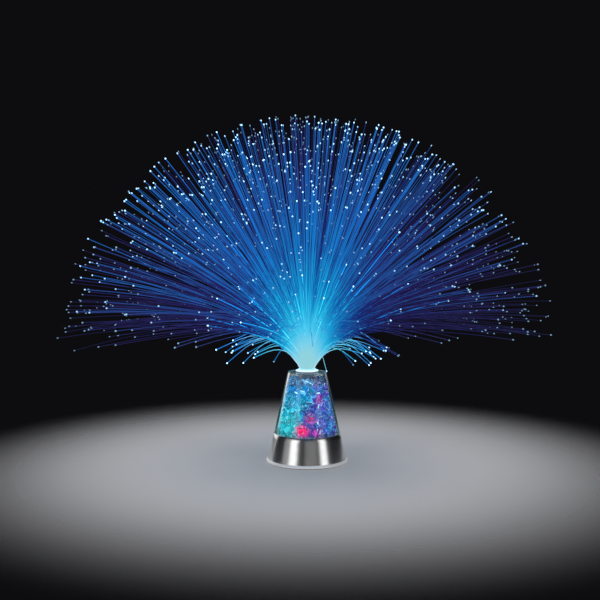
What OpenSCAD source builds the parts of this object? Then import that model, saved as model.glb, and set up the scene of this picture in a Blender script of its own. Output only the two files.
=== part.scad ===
// Fiber optic tree: a table lamp with a steel skirt, a clear cone full of crystals and a fibre spray.
// Millimetres, +Z up, origin on the floor under the middle of the foot.

/* [Stand] */
// Outer diameter at the top of the clear cone
cone_top_d = 37.6; // [34:0.2:44]
// Height of the stand, from the floor to the top of the clear cone
stand_h = 88; // [80:1:110]
// Wall of the clear cone
cone_wall = 1.8; // [1.6:0.1:3]
// Depth of the cone's spigot inside the skirt
spigot_h = 6; // [5:0.5:7]
// Sheet thickness of the steel skirt
skirt_wall = 0.8; // [0.5:0.1:1.2]
// Radius of the rolled bead at the skirt's foot
bead_r = 1.1; // [0.8:0.1:1.5]
// Gap between the bead and the floor
bead_gap = 1; // [0.5:0.1:1.5]
// Thickness of the clear floor under the crystals
floor_t = 2; // [1.5:0.1:3]
// How far the clear floor lies below the skirt's top edge
floor_drop = 1; // [0.5:0.1:2]
// Thickness of the clear top plate
top_plate_t = 2.5; // [2:0.1:4]

/* [Socket and spray plug] */
// Diameter of the pale flange on the top plate
flange_d = 22; // [21:0.5:26]
// Thickness of the flange
flange_t = 1.8; // [1.2:0.1:3]
// Outer diameter of the socket tube
socket_d = 18; // [17.5:0.1:19]
// Bore of the socket tube
socket_bore = 15.2; // [14.8:0.1:15.6]
// Depth of the socket below the top of the cone
socket_depth = 16; // [12:0.5:24]
// Thickness of the ledge at the bottom of the socket
ledge_t = 2.5; // [1.5:0.1:4]
// Wall of the plug's tube round the bundle
ferrule_wall = 0.7; // [0.5:0.05:0.8]
// Diameter of the plug's rim
ferrule_rim_d = 17.2; // [16.6:0.1:19]
// Thickness of the plug's rim
ferrule_rim_t = 1.5; // [1.5:0.1:3]
// Diameter of the clear light guide
guide_d = 11.6; // [9:0.2:12.6]

/* [Fibre spray] */
// Length of the longest fibre above the plug
fibre_l = 243; // [160:1:300]
// Rings of strands in the bundle
fibre_rings = 10; // [8:1:11]
// Half thickness of a strand
strand_r = 0.45; // [0.3:0.05:0.5]
// Half thickness of a strand in the neck, where the strands lie close
neck_strand_r = 0.28; // [0.2:0.02:0.3]
// Lean that the strands share out evenly, in degrees from upright
fan_angle = 68; // [50:1:75]
// Lean of the outermost strands, in degrees from upright
edge_angle = 83; // [60:1:84]
// Extra lean that gravity gives the tips of the outermost strands, in degrees
droop_angle = 16; // [0:1:20]
// Share of its lean that a strand already has at the plug
root_share = 0.3; // [0.1:0.05:0.4]
// Rate at which a strand bends to its lean
bend_rate = 4.6; // [4:0.1:8]
// Share of its length at which a strand leaves the neck
neck_share = 0.05; // [0.03:0.01:0.1]
// Share of its length at which a strand has made its bend
bend_share = 0.3; // [0.2:0.01:0.4]
// Share of its length that a strand may fall short
short_share = 0.14; // [0:0.01:0.25]
// How strongly the strands gather in tufts
gather = 0.3; // [0:0.05:0.4]
// Thickness of the potted slice that the strands stand on
slice_t = 1.4; // [1:0.1:2]

/* [Crystals] */
// Spacing of the crystals
crystal_pitch = 6.5; // [6:0.5:9]
// Gap that the crystals keep from each other and from the walls
crystal_gap = 0.3; // [0.2:0.05:0.5]
// Height left free under the top plate
crystal_room = 3; // [1:0.5:10]

/* [Battery bay] */
// Diameter of a cell
cell_d = 10.5; // [10:0.1:14.5]
// Length of a cell with its nub
cell_l = 44.5; // [40:0.5:50.5]
// Play round a cell
cell_play = 0.4; // [0.3:0.05:0.8]
// Length of a spring with the cell in
spring_l = 4.5; // [4:0.1:6]
// Thickness of the contact plates
plate_t = 0.4; // [0.3:0.05:0.6]
// Wall of the battery bay
bay_wall = 1.4; // [1.2:0.1:2.5]
// Room between the corners of the bay and the housing wall
bay_room = 0.8; // [0.5:0.1:5]

/* [Base] */
// Height at which the foot ring holds the cover above the floor
foot_h = 1.2; // [0.8:0.1:2]
// Width of the foot ring
foot_w = 3.6; // [2.5:0.1:5]
// Depth of the foot ring's groove in the cover
foot_seat = 0.8; // [0.4:0.1:1.2]
// Thickness of the bottom cover
cover_t = 2.2; // [2:0.1:3]
// Wall of the inner housing
housing_wall = 1.6; // [1.2:0.1:2.5]
// Thickness of the deck under the circuit board
deck_t = 1.4; // [1:0.1:2.5]
// Height of the posts under the circuit board
standoff_h = 1.8; // [1.8:0.1:4]
// Room for wires between the battery bay and the deck
wire_room = 2; // [1.6:0.1:5]
// Room for wires between the battery bay and the screw bosses
wire_way = 2.4; // [1.8:0.1:4]
// Diameter of the screw bosses
boss_d = 6; // [5:0.2:7]
// Half the distance between a pair of screw bosses
boss_x = 15; // [13:0.5:17]

/* [Battery door] */
// Thickness of the door
door_t = 1.6; // [1.2:0.1:1.8]
// Gap round the door
door_gap = 0.3; // [0.2:0.05:0.5]
// Radius of the trunnion pins
pin_r = 0.7; // [0.5:0.05:0.8]
// Length of the trunnion pins
pin_l = 1.2; // [0.8:0.1:1.3]
// Width of the thumb tab
tab_w = 12; // [8:0.5:16]
// Length of the thumb tab
tab_l = 2.5; // [1.5:0.1:3]
// Length of the scoop for the nail beyond the tab
scoop_l = 3; // [1:0.1:3.5]

/* [Switch] */
// Length of the switch body
switch_l = 12; // [10:0.5:14]
// Width of the switch body
switch_w = 6; // [5.5:0.1:7]
// Height of the switch body
switch_h = 5; // [4:0.1:7]
// Travel of the slider
switch_travel = 3; // [2:0.1:3.5]
// Length of the slider's knob
knob_l = 3; // [2:0.1:3]
// Width of the slider's knob
knob_w = 2.4; // [1.6:0.1:3]

/* [Circuit board] */
// Thickness of the circuit board
board_t = 1.6; // [1:0.1:2]
// Board left outside the solder points
pad_edge = 1.4; // [1:0.1:2]
// Room between the board and the clear floor
light_gap = 2.6; // [2.2:0.1:5]
// Side of an LED
led_w = 5; // [3:0.1:5]
// Height of an LED
led_h = 1.6; // [0.8:0.1:1.8]
// Radius of the ring of LEDs under the crystals
led_ring_r = 11.5; // [10:0.1:12]

/* [Hidden] */
$fn = 64;
overlap = 0.01;
cut = 1;
// Clearances
skirt_fit = 0.15;
glue_gap = 0.05;
plug_fit = 0.08;
seat_gap = 0.1;
pin_fit = 0.05;
slide_gap = 0.12;
thread_gap = 0.05;
hole_gap = 0.2;

// Levels of the base, from the floor up
cover_z = foot_h;
cover_top = cover_z + cover_t;
cell_z = cover_z + max(door_t, cover_t) + cell_play + cell_d / 2;
bay_ceiling = cell_z + cell_d / 2 + cell_play;
bay_top = bay_ceiling + bay_wall;
deck_z = bay_top + wire_room;
deck_top = deck_z + deck_t;
board_z = deck_top + standoff_h;
board_top = board_z + board_t;
floor_z = board_top + light_gap;
floor_top = floor_z + floor_t;
skirt_h = floor_top + floor_drop;
spigot_z = skirt_h - spigot_h;

// Battery bay, cells along X and side by side along Y
cell_count = 3;
cell_pitch = cell_d + cell_play;
bay_l = cell_l + spring_l + 2 * plate_t + cell_play;
bay_w = cell_count * cell_pitch + cell_play;
bay_out_l = bay_l + 2 * bay_wall;
bay_out_w = bay_w + 2 * bay_wall;
bay_corner = norm([bay_out_l, bay_out_w]) / 2;

// Slope that the skirt and the cone share: wide enough at the bay's top for the bay's corners
need_r = bay_corner + bay_room + housing_wall + skirt_fit + skirt_wall;
need_share = bay_top / stand_h;
foot_r = (need_r - cone_top_d / 2 * need_share) / (1 - need_share);
function cone_r(z) = foot_r + (cone_top_d / 2 - foot_r) * z / stand_h;
function cone_in(z) = cone_r(z) - cone_wall;
function lining_r(z) = cone_r(z) - skirt_wall - skirt_fit;
function housing_in(z) = lining_r(z) - housing_wall;

// Foot, cover and screws
cover_r = lining_r(cover_top);
foot_inset = 0.5;
foot_out = cover_r - foot_inset;
foot_in = foot_out - foot_w;
screw_r = 1.3;
screw_l = 8;
head_r = 2.5;
head_t = 1.2;
boss_y = bay_out_w / 2 + wire_way + boss_d / 2;
boss_places = [for (sx = [-1, 1], sy = [-1, 1]) [sx * boss_x, sy * boss_y]];
small_r = 0.9;
small_head_r = 1.7;
small_head_t = 1;
small_l = 4;

// Battery door
knuckle_r = cover_t / 2;
hinge_x = bay_l / 2 - door_gap - knuckle_r;
hinge_z = cover_z + knuckle_r;
door_w = bay_w - 2 * door_gap;
door_end = -bay_l / 2 + door_gap;
tab_t = 1;

// Switch
switch_y = bay_out_w / 2 + wire_way + switch_w / 2;
slider_t = 2;
slider_rim = 1;
slider_side = 0.6;
slider_l = knob_l + 2 * slider_rim;
slider_w = knob_w + 2 * slider_side;
slider_play = 0.1;
cavity_l = slider_l + switch_travel + 2 * slider_play;
knob_low = 0.3;
ear_rim = 1.3;
ear_l = 2 * (small_r + ear_rim);
ear_t = 1.2;
ear_x = switch_l / 2 + ear_l / 2;
post_h = 2.4;
post_wall = 1;
post_r = small_r + post_wall;
lug_x = 3;
lug_h = 1.2;
lug_t = 0.6;
lug_w = 1.6;
lug_z = cover_top + switch_h;

// Contacts, solder points and board
contact_w = 8;
contact_h = 8;
tab_half = 1.5;
terminal_x = bay_l / 2 - plate_t / 2;
terminal_y = cell_pitch;
deck_clear = 0.6;
terminal_top = bay_top + wire_room - deck_clear;
wire_d = 1.2;
wire_z = bay_top + wire_room / 2;
wire_hole_gap = 1;
wire_hole_r = wire_d / 2 + wire_hole_gap;
board_r = norm([terminal_x, terminal_y]) + pad_edge;
board_screw_r = 21.5;
board_screw_angles = [45, 165, 285];
led_count = 4;
led_angles = [for (k = [0:led_count - 1]) 45 + k * 360 / led_count];

// Spray plug
flange_top = stand_h + flange_t;
socket_z = stand_h - socket_depth;
guide_top = socket_z + ledge_t;
ferrule_z = guide_top + hole_gap;
ferrule_r = socket_bore / 2 - plug_fit;
bundle_bore = ferrule_r - ferrule_wall;
bundle_r = bundle_bore - glue_gap;
rim_z = flange_top + seat_gap;
rim_top = rim_z + ferrule_rim_t;
slice_z = rim_top - slice_t;

// A block centred in X and Y with its underside at z
module block(size, at) {
    translate([at.x - size.x / 2, at.y - size.y / 2, at.z]) cube(size);
}

// A pan-head screw pointing up, with the underside of its head at z = 0
module screw_up(shank_r, length, cap_r, cap_t) {
    translate([0, 0, -overlap]) cylinder(r = shank_r, h = length + overlap);
    translate([0, 0, -cap_t]) cylinder(r = cap_r, h = cap_t);
}

// Repeatable value from 0 to 1 for a number
function scatter(n) = let (x = 971.3 * sin(127.1 * n + 31.7)) x - floor(x);

// Tube of a given diameter along points, with one ring at each point
function unit(v) = v / norm(v);
function run_at(p, k) = unit(p[min(k + 1, len(p) - 1)] - p[max(k - 1, 0)]);
function side_of(t) = unit(cross(t, abs(t.z) < 0.9 ? [0, 0, 1] : [0, 1, 0]));
module tube(path, d, sides) {
    last = len(path) - 1;
    rings = [
        for (k = [0:last])
            let (t = run_at(path, k), a = side_of(t), b = cross(t, a))
                for (i = [0:sides - 1])
                    path[k] + d / 2 * (cos(360 * i / sides) * a + sin(360 * i / sides) * b)
    ];
    function at(k, i) = k * sides + i % sides;
    skin = [
        for (k = [0:last - 1], i = [0:sides - 1])
            each [
                [at(k, i), at(k + 1, i), at(k + 1, i + 1)],
                [at(k, i), at(k + 1, i + 1), at(k, i + 1)],
            ]
    ];
    caps = [
        for (i = [1:sides - 2])
            each [
                [at(0, 0), at(0, i), at(0, i + 1)],
                [at(last, 0), at(last, i + 1), at(last, i)],
            ]
    ];
    polyhedron(points = rings, faces = concat(skin, caps));
}

// Base

module foot_ring() {
    color("dimgray")
        difference() {
            cylinder(r = foot_out, h = foot_h + foot_seat);
            translate([0, 0, -cut]) cylinder(r = foot_in, h = foot_h + foot_seat + 2 * cut);
        }
}

module foot_groove() {
    translate([0, 0, cover_z - cut])
        difference() {
            cylinder(r = foot_out + glue_gap, h = foot_seat + cut);
            translate([0, 0, -cut]) cylinder(r = foot_in - glue_gap, h = foot_seat + 3 * cut);
        }
}

module bay_box() {
    block([bay_out_l, bay_out_w, bay_top - cover_z], [0, 0, cover_z]);
}

module bay_space() {
    block([bay_l, bay_w, bay_ceiling - cover_z + cut], [0, 0, cover_z - cut]);
}

module thumb_scoop() {
    scoop_t = tab_t + door_gap;
    scoop = tab_l + scoop_l + cut;
    block([scoop, tab_w + 2 * door_gap, scoop_t + cut], [-bay_l / 2 + cut - scoop / 2, 0, cover_z - cut]);
}

module terminal_slots() {
    for (s = [-1, 1])
        block([plate_t + 2 * hole_gap, 2 * (tab_half + hole_gap), bay_wall + 2 * cut],
            [s * (terminal_x - hole_gap), s * terminal_y, bay_ceiling - cut]);
}

module base_cover() {
    color([0.09, 0.09, 0.1])
        difference() {
            union() {
                translate([0, 0, cover_z]) cylinder(r = cover_r, h = cover_t);
                bay_box();
                for (s = [-1, 1])
                    translate([s * ear_x, switch_y, cover_top - overlap])
                        cylinder(r = post_r, h = post_h + overlap);
            }
            bay_space();
            foot_groove();
            thumb_scoop();
            terminal_slots();
            translate([hinge_x, 0, hinge_z])
                rotate([90, 0, 0])
                    cylinder(r = pin_r + pin_fit, h = door_w + 2 * (pin_l + seat_gap), center = true);
            for (p = boss_places)
                translate([p.x, p.y, cover_z]) {
                    translate([0, 0, -cut]) cylinder(r = screw_r + hole_gap, h = cover_t + 2 * cut);
                    translate([0, 0, -cut]) cylinder(r = head_r + hole_gap, h = head_t + cut);
                }
            block([knob_l + switch_travel + 2 * slide_gap, knob_w + 2 * slide_gap, cover_t + 2 * cut],
                [0, switch_y, cover_z - cut]);
            for (s = [-1, 1])
                translate([s * ear_x, switch_y, cover_top])
                    cylinder(r = small_r + thread_gap, h = post_h + cut);
        }
}

module battery_door() {
    color([0.1, 0.1, 0.11]) {
        translate([door_end, -door_w / 2, cover_z]) cube([hinge_x - door_end, door_w, door_t]);
        block([tab_l + cut, tab_w, tab_t], [door_end + (cut - tab_l) / 2, 0, cover_z]);
        translate([hinge_x, 0, hinge_z])
            rotate([90, 0, 0]) {
                cylinder(r = knuckle_r, h = door_w, center = true);
                cylinder(r = pin_r, h = door_w + 2 * pin_l, center = true);
            }
    }
}

module cover_screws() {
    color("silver")
        for (p = boss_places)
            translate([p.x, p.y, cover_z + head_t]) screw_up(screw_r, screw_l, head_r, head_t - seat_gap);
}

module base_housing() {
    color("whitesmoke")
        difference() {
            union() {
                rotate_extrude()
                    polygon([
                        [0, deck_z], [housing_in(deck_z), deck_z], [housing_in(cover_top), cover_top],
                        [lining_r(cover_top), cover_top], [lining_r(spigot_z), spigot_z],
                        [housing_in(spigot_z), spigot_z], [housing_in(deck_top), deck_top], [0, deck_top],
                    ]);
                for (p = boss_places)
                    translate([p.x, p.y, cover_top])
                        cylinder(d = boss_d, h = deck_z - cover_top + deck_t / 2);
                for (a = board_screw_angles)
                    rotate(a)
                        translate([board_screw_r, 0, deck_z + deck_t / 2])
                            cylinder(r = post_r, h = board_z - deck_z - deck_t / 2);
            }
            for (p = boss_places)
                translate([p.x, p.y, cover_top - cut]) cylinder(r = screw_r + thread_gap, h = screw_l + cut);
            for (a = board_screw_angles)
                rotate(a)
                    translate([board_screw_r, 0, deck_z - cut])
                        cylinder(r = small_r + thread_gap, h = board_z - deck_z + 2 * cut);
            for (s = [-1, 1])
                translate([s * terminal_x, s * terminal_y, deck_z - cut])
                    cylinder(r = wire_hole_r, h = deck_t + 2 * cut);
            translate([-lug_x, switch_y, deck_z - cut]) cylinder(r = wire_hole_r, h = deck_t + 2 * cut);
        }
}

module skirt() {
    bead_z = bead_gap + bead_r;
    bead_x = cone_r(bead_z) + bead_r - skirt_wall;
    color("lightsteelblue")
        union() {
            rotate_extrude()
                polygon([
                    [cone_r(bead_z), bead_z], [cone_r(skirt_h), skirt_h],
                    [cone_r(skirt_h) - skirt_wall, skirt_h], [cone_r(bead_z) - skirt_wall, bead_z],
                ]);
            rotate_extrude() translate([bead_x, bead_z]) circle(r = bead_r);
        }
}

// Cells and contacts. Cells 0 and 2 have the nub towards +X and cell 1 towards -X.

function nub_way(k) = k == 1 ? -1 : 1;
function cell_y(k) = (k - 1) * cell_pitch;
nub_l = 1;
nub_r = 1.9;
cell_front = bay_l / 2 - plate_t - cell_play / 2;

module battery_cells() {
    color("forestgreen")
        for (k = [0:cell_count - 1])
            translate([0, cell_y(k), cell_z])
                rotate([0, nub_way(k) * 90, 0]) {
                    translate([0, 0, cell_front - cell_l]) cylinder(d = cell_d, h = cell_l - nub_l);
                    translate([0, 0, cell_front - nub_l - overlap]) cylinder(r = nub_r, h = nub_l + overlap);
                }
}

// Springs: one unbroken wire each, narrowing towards the cell, with straight ends
spring_wire = 0.5;
spring_wide = 3.2;
spring_narrow = 2.4;
spring_turns = 3;
spring_rings = 8;
spring_back = -bay_l / 2 + plate_t;
spring_front = cell_front - cell_l;
spring_steps = spring_turns * spring_rings;
spring_run = [
    for (k = [0:spring_steps])
        let (
            s = k / spring_steps,
            r = spring_wide + (spring_narrow - spring_wide) * s,
            from = spring_back + 2 * spring_wire,
            to = spring_front - 2 * spring_wire
        )
            [from + (to - from) * s, r * cos(360 * k / spring_rings), r * sin(360 * k / spring_rings)]
];
function beside(p, x) = [x, p.y, p.z];
spring_first = spring_run[0];
spring_last = spring_run[spring_steps];
spring_path = concat(
    [beside(spring_first, spring_back), beside(spring_first, spring_back + spring_wire)],
    spring_run,
    [beside(spring_last, spring_front - spring_wire), beside(spring_last, spring_front)]
);
spring_self_gap = min([
    for (a = [0:spring_steps], b = [a + spring_rings / 2:1:spring_steps]) norm(spring_run[a] - spring_run[b])
]) - spring_wire;
echo(spring_self_gap = spring_self_gap);

module battery_springs() {
    color("gold")
        for (k = [0:cell_count - 1])
            translate([0, cell_y(k), cell_z])
                rotate(nub_way(k) == 1 ? 0 : 180) tube(spring_path, spring_wire, 6);
}

module contact_plates() {
    color("gainsboro")
        for (s = [-1, 1]) {
            block([plate_t, contact_w, contact_h], [s * terminal_x, s * terminal_y, cell_z - contact_h / 2]);
            block([plate_t, 2 * tab_half, terminal_top - cell_z], [s * terminal_x, s * terminal_y, cell_z]);
            block([plate_t, contact_w + cell_pitch, contact_h],
                [s * terminal_x, -s * cell_pitch / 2, cell_z - contact_h / 2]);
        }
}

// Switch

module switch_body() {
    color([0.75, 0.75, 0.72])
        difference() {
            union() {
                block([switch_l, switch_w, switch_h], [0, switch_y, cover_top]);
                block([switch_l + 2 * ear_l, switch_w, ear_t], [0, switch_y, cover_top + post_h]);
                for (s = [-1, 1])
                    block([lug_t, lug_w, lug_h + overlap], [s * lug_x, switch_y, lug_z - overlap]);
            }
            block([cavity_l, slider_w + 2 * slide_gap, slider_t + slide_gap + cut],
                [0, switch_y, cover_top - cut]);
            for (s = [-1, 1])
                translate([s * ear_x, switch_y, cover_top + post_h - cut])
                    cylinder(r = small_r + hole_gap, h = ear_t + 2 * cut);
        }
}

module switch_slider() {
    start = -switch_travel / 2;
    color("ivory")
        union() {
            block([slider_l, slider_w, slider_t - slide_gap], [start, switch_y, cover_top + slide_gap]);
            block([knob_l, knob_w, cover_t + knob_low + slider_t / 2], [start, switch_y, cover_z - knob_low]);
        }
}

module switch_screws() {
    color("silver")
        for (s = [-1, 1])
            translate([s * ear_x, switch_y, cover_top + post_h + ear_t])
                mirror([0, 0, 1]) screw_up(small_r, post_h + ear_t, small_head_r, small_head_t);
}

// Wires, each along its own points

way_y = bay_out_w / 2 + wire_way / 2;
red_start = [terminal_x, terminal_y + tab_half, wire_z];
red_lug = [lug_x, switch_y, lug_z + lug_h];
red_to_switch = [
    red_start,
    red_start + [0, 2, 0],
    [terminal_x - 0.6, (red_start.y + way_y) / 2 + 1.5, wire_z - 0.1],
    [terminal_x - 3, way_y - 0.3, wire_z - 0.6],
    [terminal_x - 7, way_y, (wire_z + red_lug.z) / 2 + 1.5],
    [boss_x, way_y, (wire_z + red_lug.z) / 2],
    [(boss_x + lug_x) / 2, way_y + 0.4, red_lug.z + 1.8],
    [lug_x + 1, (way_y + switch_y) / 2 + 0.6, red_lug.z + 1.8],
    red_lug + [0, 0, 1],
    red_lug,
];
red_to_board = [
    [-lug_x, switch_y, lug_z + lug_h],
    [-lug_x, switch_y, lug_z + lug_h + 2],
    [-lug_x, switch_y, deck_z - 1],
    [-lug_x, switch_y, board_z - 1],
    [-lug_x, switch_y, board_z],
];
black_to_board = [
    [-terminal_x, -terminal_y, terminal_top],
    [-terminal_x, -terminal_y, (terminal_top + board_z) / 2],
    [-terminal_x, -terminal_y, board_z],
];

module red_leads() {
    color("red") {
        tube(red_to_switch, wire_d, 8);
        tube(red_to_board, wire_d, 8);
    }
}

module black_lead() {
    color("black") tube(black_to_board, wire_d, 8);
}

// Light

module led_board() {
    color("darkgreen")
        difference() {
            translate([0, 0, board_z]) cylinder(r = board_r, h = board_t);
            for (a = board_screw_angles)
                rotate(a)
                    translate([board_screw_r, 0, board_z - cut])
                        cylinder(r = small_r + hole_gap, h = board_t + 2 * cut);
        }
}

module led() {
    lens_share = 0.72;
    case_share = 0.75;
    block([led_w, led_w, led_h * case_share], [0, 0, board_top]);
    translate([0, 0, board_top + led_h * case_share - overlap])
        cylinder(d = led_w * lens_share, h = led_h * (1 - case_share));
}

module crystal_leds() {
    color("white")
        for (a = led_angles)
            rotate(a) translate([led_ring_r, 0, 0]) led();
}

module spray_led() {
    color("white") led();
}

module control_chip() {
    chip_l = 5;
    chip_w = 4;
    chip_h = 1.2;
    chip_y = -9;
    color([0.15, 0.15, 0.16]) block([chip_l, chip_w, chip_h], [0, chip_y, board_z - chip_h]);
}

module resistors() {
    part_l = 2;
    part_w = 1.25;
    part_h = 0.6;
    part_pitch = 4;
    part_y = 8;
    color([0.2, 0.2, 0.2])
        for (k = [0:led_count])
            block([part_l, part_w, part_h], [part_pitch * (k - led_count / 2), part_y, board_z - part_h]);
}

module board_screws() {
    color("silver")
        for (a = board_screw_angles)
            rotate(a)
                translate([board_screw_r, 0, board_top])
                    mirror([0, 0, 1]) screw_up(small_r, small_l, small_head_r, small_head_t);
}

module reflector() {
    low = board_top;
    high = floor_z - seat_gap;
    led_room = 1.25;
    flare = 3;
    wall = 1;
    low_r = led_ring_r + led_w / 2 + led_room;
    high_r = low_r + flare;
    color("white")
        rotate_extrude()
            polygon([[low_r, low], [low_r + wall, low], [high_r + wall, high], [high_r, high]]);
}

// Clear cone and what it holds

module cone_shell() {
    seam_z = skirt_h + seat_gap;
    color([0.85, 0.93, 0.98, 0.4])
        rotate_extrude()
            polygon([
                [cone_in(spigot_z), spigot_z], [lining_r(spigot_z), spigot_z], [lining_r(seam_z), seam_z],
                [cone_r(seam_z), seam_z], [cone_r(stand_h), stand_h], [cone_in(stand_h), stand_h],
            ]);
}

module clear_plug(low, high, hole_r) {
    difference() {
        translate([0, 0, low])
            cylinder(r1 = cone_in(low) - glue_gap, r2 = cone_in(high) - glue_gap, h = high - low);
        if (hole_r > 0)
            translate([0, 0, low - cut]) cylinder(r = hole_r, h = high - low + 2 * cut);
    }
}

module cone_floor() {
    color([0.85, 0.93, 0.98, 0.4]) clear_plug(floor_z, floor_top, 0);
}

module top_plate() {
    color([0.85, 0.93, 0.98, 0.4]) clear_plug(stand_h - top_plate_t, stand_h, socket_d / 2 + glue_gap);
}

module light_guide() {
    color([0.8, 0.95, 1, 0.5]) translate([0, 0, floor_top]) cylinder(d = guide_d, h = guide_top - floor_top);
}

// Crystals lie in layers of rings, between what stands on the axis and the cone's wall
crystal_high = stand_h - top_plate_t - crystal_room;
layer_count = floor((crystal_high - floor_top) / crystal_pitch);
layer_pitch = (crystal_high - floor_top) / layer_count;
function layer_z(k) = floor_top + (k + 0.5) * layer_pitch;
function hub_r(z) = (z + layer_pitch / 2 > socket_z ? socket_d : guide_d) / 2 + crystal_gap;
function bed_r(z) = cone_in(z + layer_pitch / 2) - crystal_gap;
function ring_count(z) = max(1, floor((bed_r(z) - hub_r(z)) / crystal_pitch));
function ring_pitch(z) = (bed_r(z) - hub_r(z)) / ring_count(z);
crystal_places = [
    for (k = [0:layer_count - 1])
        let (z = layer_z(k), p = ring_pitch(z))
            for (m = [0:ring_count(z) - 1])
                let (r = hub_r(z) + (m + 0.5) * p, n = floor(360 / (2 * asin(min(1, crystal_pitch / 2 / r)))))
                    for (i = [0:n - 1])
                        [r, 360 * (i + 0.5 * (k % 2)) / n, z, p, 2 * r * sin(180 / n)]
];

// The six corners of one shard: inner and outer, the two sides, bottom and top
function shard(c, id) =
    let (
        a = c[1],
        out = [cos(a), sin(a), 0],
        aside = [-sin(a), cos(a), 0],
        mid = [c[0] * cos(a), c[0] * sin(a), c[2]],
        half_r = c[3] / 2 - crystal_gap / 2,
        half_s = c[4] / 2 - crystal_gap / 2,
        half_z = layer_pitch / 2 - crystal_gap / 2,
        tilt = function (n) 0.35 * (scatter(id * 6 + n) - 0.5)
    )
        [
            mid - half_r * out + half_z * tilt(0) * [0, 0, 1],
            mid + half_r * out + half_z * tilt(1) * [0, 0, 1],
            mid - half_s * aside + half_z * tilt(2) * [0, 0, 1],
            mid + half_s * aside + half_z * tilt(3) * [0, 0, 1],
            mid - half_z * [0, 0, 1] + half_r * tilt(4) * out,
            mid + half_z * [0, 0, 1] + half_r * tilt(5) * out,
        ];
shard_faces = [
    [1, 5, 3], [3, 5, 0], [0, 5, 2], [2, 5, 1],
    [1, 3, 4], [3, 0, 4], [0, 2, 4], [2, 1, 4],
];

module crystals() {
    count = len(crystal_places);
    color([0.5, 0.8, 1])
        polyhedron(
            points = [for (id = [0:count - 1]) each shard(crystal_places[id], id)],
            faces = [for (id = [0:count - 1], f = shard_faces) [for (v = f) v + 6 * id]]
        );
}

module socket_collar() {
    color("white")
        rotate_extrude()
            polygon([
                [socket_bore / 2, flange_top], [socket_bore / 2, guide_top],
                [guide_d / 2 + seat_gap, guide_top], [guide_d / 2 + seat_gap, socket_z],
                [socket_d / 2, socket_z], [socket_d / 2, stand_h], [flange_d / 2, stand_h],
                [flange_d / 2, flange_top],
            ]);
}

// Fibre spray

module spray_ferrule() {
    color("lightgray")
        rotate_extrude()
            polygon([
                [bundle_bore, ferrule_z], [ferrule_r, ferrule_z], [ferrule_r, rim_z],
                [ferrule_rim_d / 2, rim_z], [ferrule_rim_d / 2, rim_top], [bundle_bore, rim_top],
            ]);
}

module bundle_core() {
    color("lightcyan") translate([0, 0, ferrule_z]) cylinder(r = bundle_r, h = slice_z - ferrule_z);
}

// Strands rise from every second triangle of a lattice on the slice, one sixth of the bundle a tuft.
// A strand's lean depends on its place in the bundle alone, so strands keep their order and never cross.
tuft_count = 6;
tuft_span = 360 / tuft_count;
tuft_shift = 0.08;
cell_middle = 2 / 3;
lean_scatter = 0.6;
lattice_r = bundle_r - tuft_shift;
strand_parts = 3;
walk_steps = 8;
function spread(u) = fan_angle * u + (edge_angle - fan_angle) * pow(u, 6);
function lean(u, s) =
    spread(u) * (root_share + (1 - root_share) * (1 - pow(1 - s, bend_rate))) + droop_angle * pow(u, 4) * s;
function stride(u, s, k) = let (a = lean(u, s * (k - 0.5) / walk_steps)) [sin(a), cos(a)];
function walk(u, s, k = walk_steps) =
    k == 0 ? [0, 0] : walk(u, s, k - 1) + fibre_l * s / walk_steps * stride(u, s, k);
function wave(a, count) = sin(count * a + 40) / count * 180 / PI;
function gathered(a) = a + gather * (wave(a, 14) + 0.5 * wave(a, 6));

// Corners of ring k of a strand in tuft t: the inner one, then the two outer ones
function strand_ring(t, i, j, k) =
    let (
        id = lattice_at(i, j) + 101 * (t % 3),
        u = (i + cell_middle + lean_scatter * (scatter(id) - 0.5)) / fibre_rings,
        reach = 1 - short_share * pow(scatter(id + 0.5), 2),
        s = [neck_share, bend_share, reach][k - 1],
        r = k == 1 ? neck_strand_r : strand_r,
        at = walk(u, s),
        tilt = lean(u, s),
        a = gathered(tuft_span * (t + (j + 0.5) / (i + 1))),
        out = [cos(a), sin(a), 0],
        aside = [-sin(a), cos(a), 0],
        across = cos(tilt) * out - sin(tilt) * [0, 0, 1],
        root = lattice_r * (i + cell_middle) / fibre_rings,
        mid = (root + at[0]) * out + (rim_top + at[1]) * [0, 0, 1]
    )
        [
            mid - r * across,
            mid + r * (0.5 * across - sin(60) * aside),
            mid + r * (0.5 * across + sin(60) * aside),
        ];

// Lattice of the slice: ring i holds the points j = 0 to i of one sixth
function lattice_at(i, j) = i * (i + 1) / 2 + j;
function lattice_point(t, i, j) =
    let (
        a = tuft_span * (t + (i == 0 ? 0.5 : j / i)),
        middle = tuft_span * (t + 0.5),
        r = lattice_r * i / fibre_rings
    )
        [r * cos(a) + tuft_shift * cos(middle), r * sin(a) + tuft_shift * sin(middle), rim_top];

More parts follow.
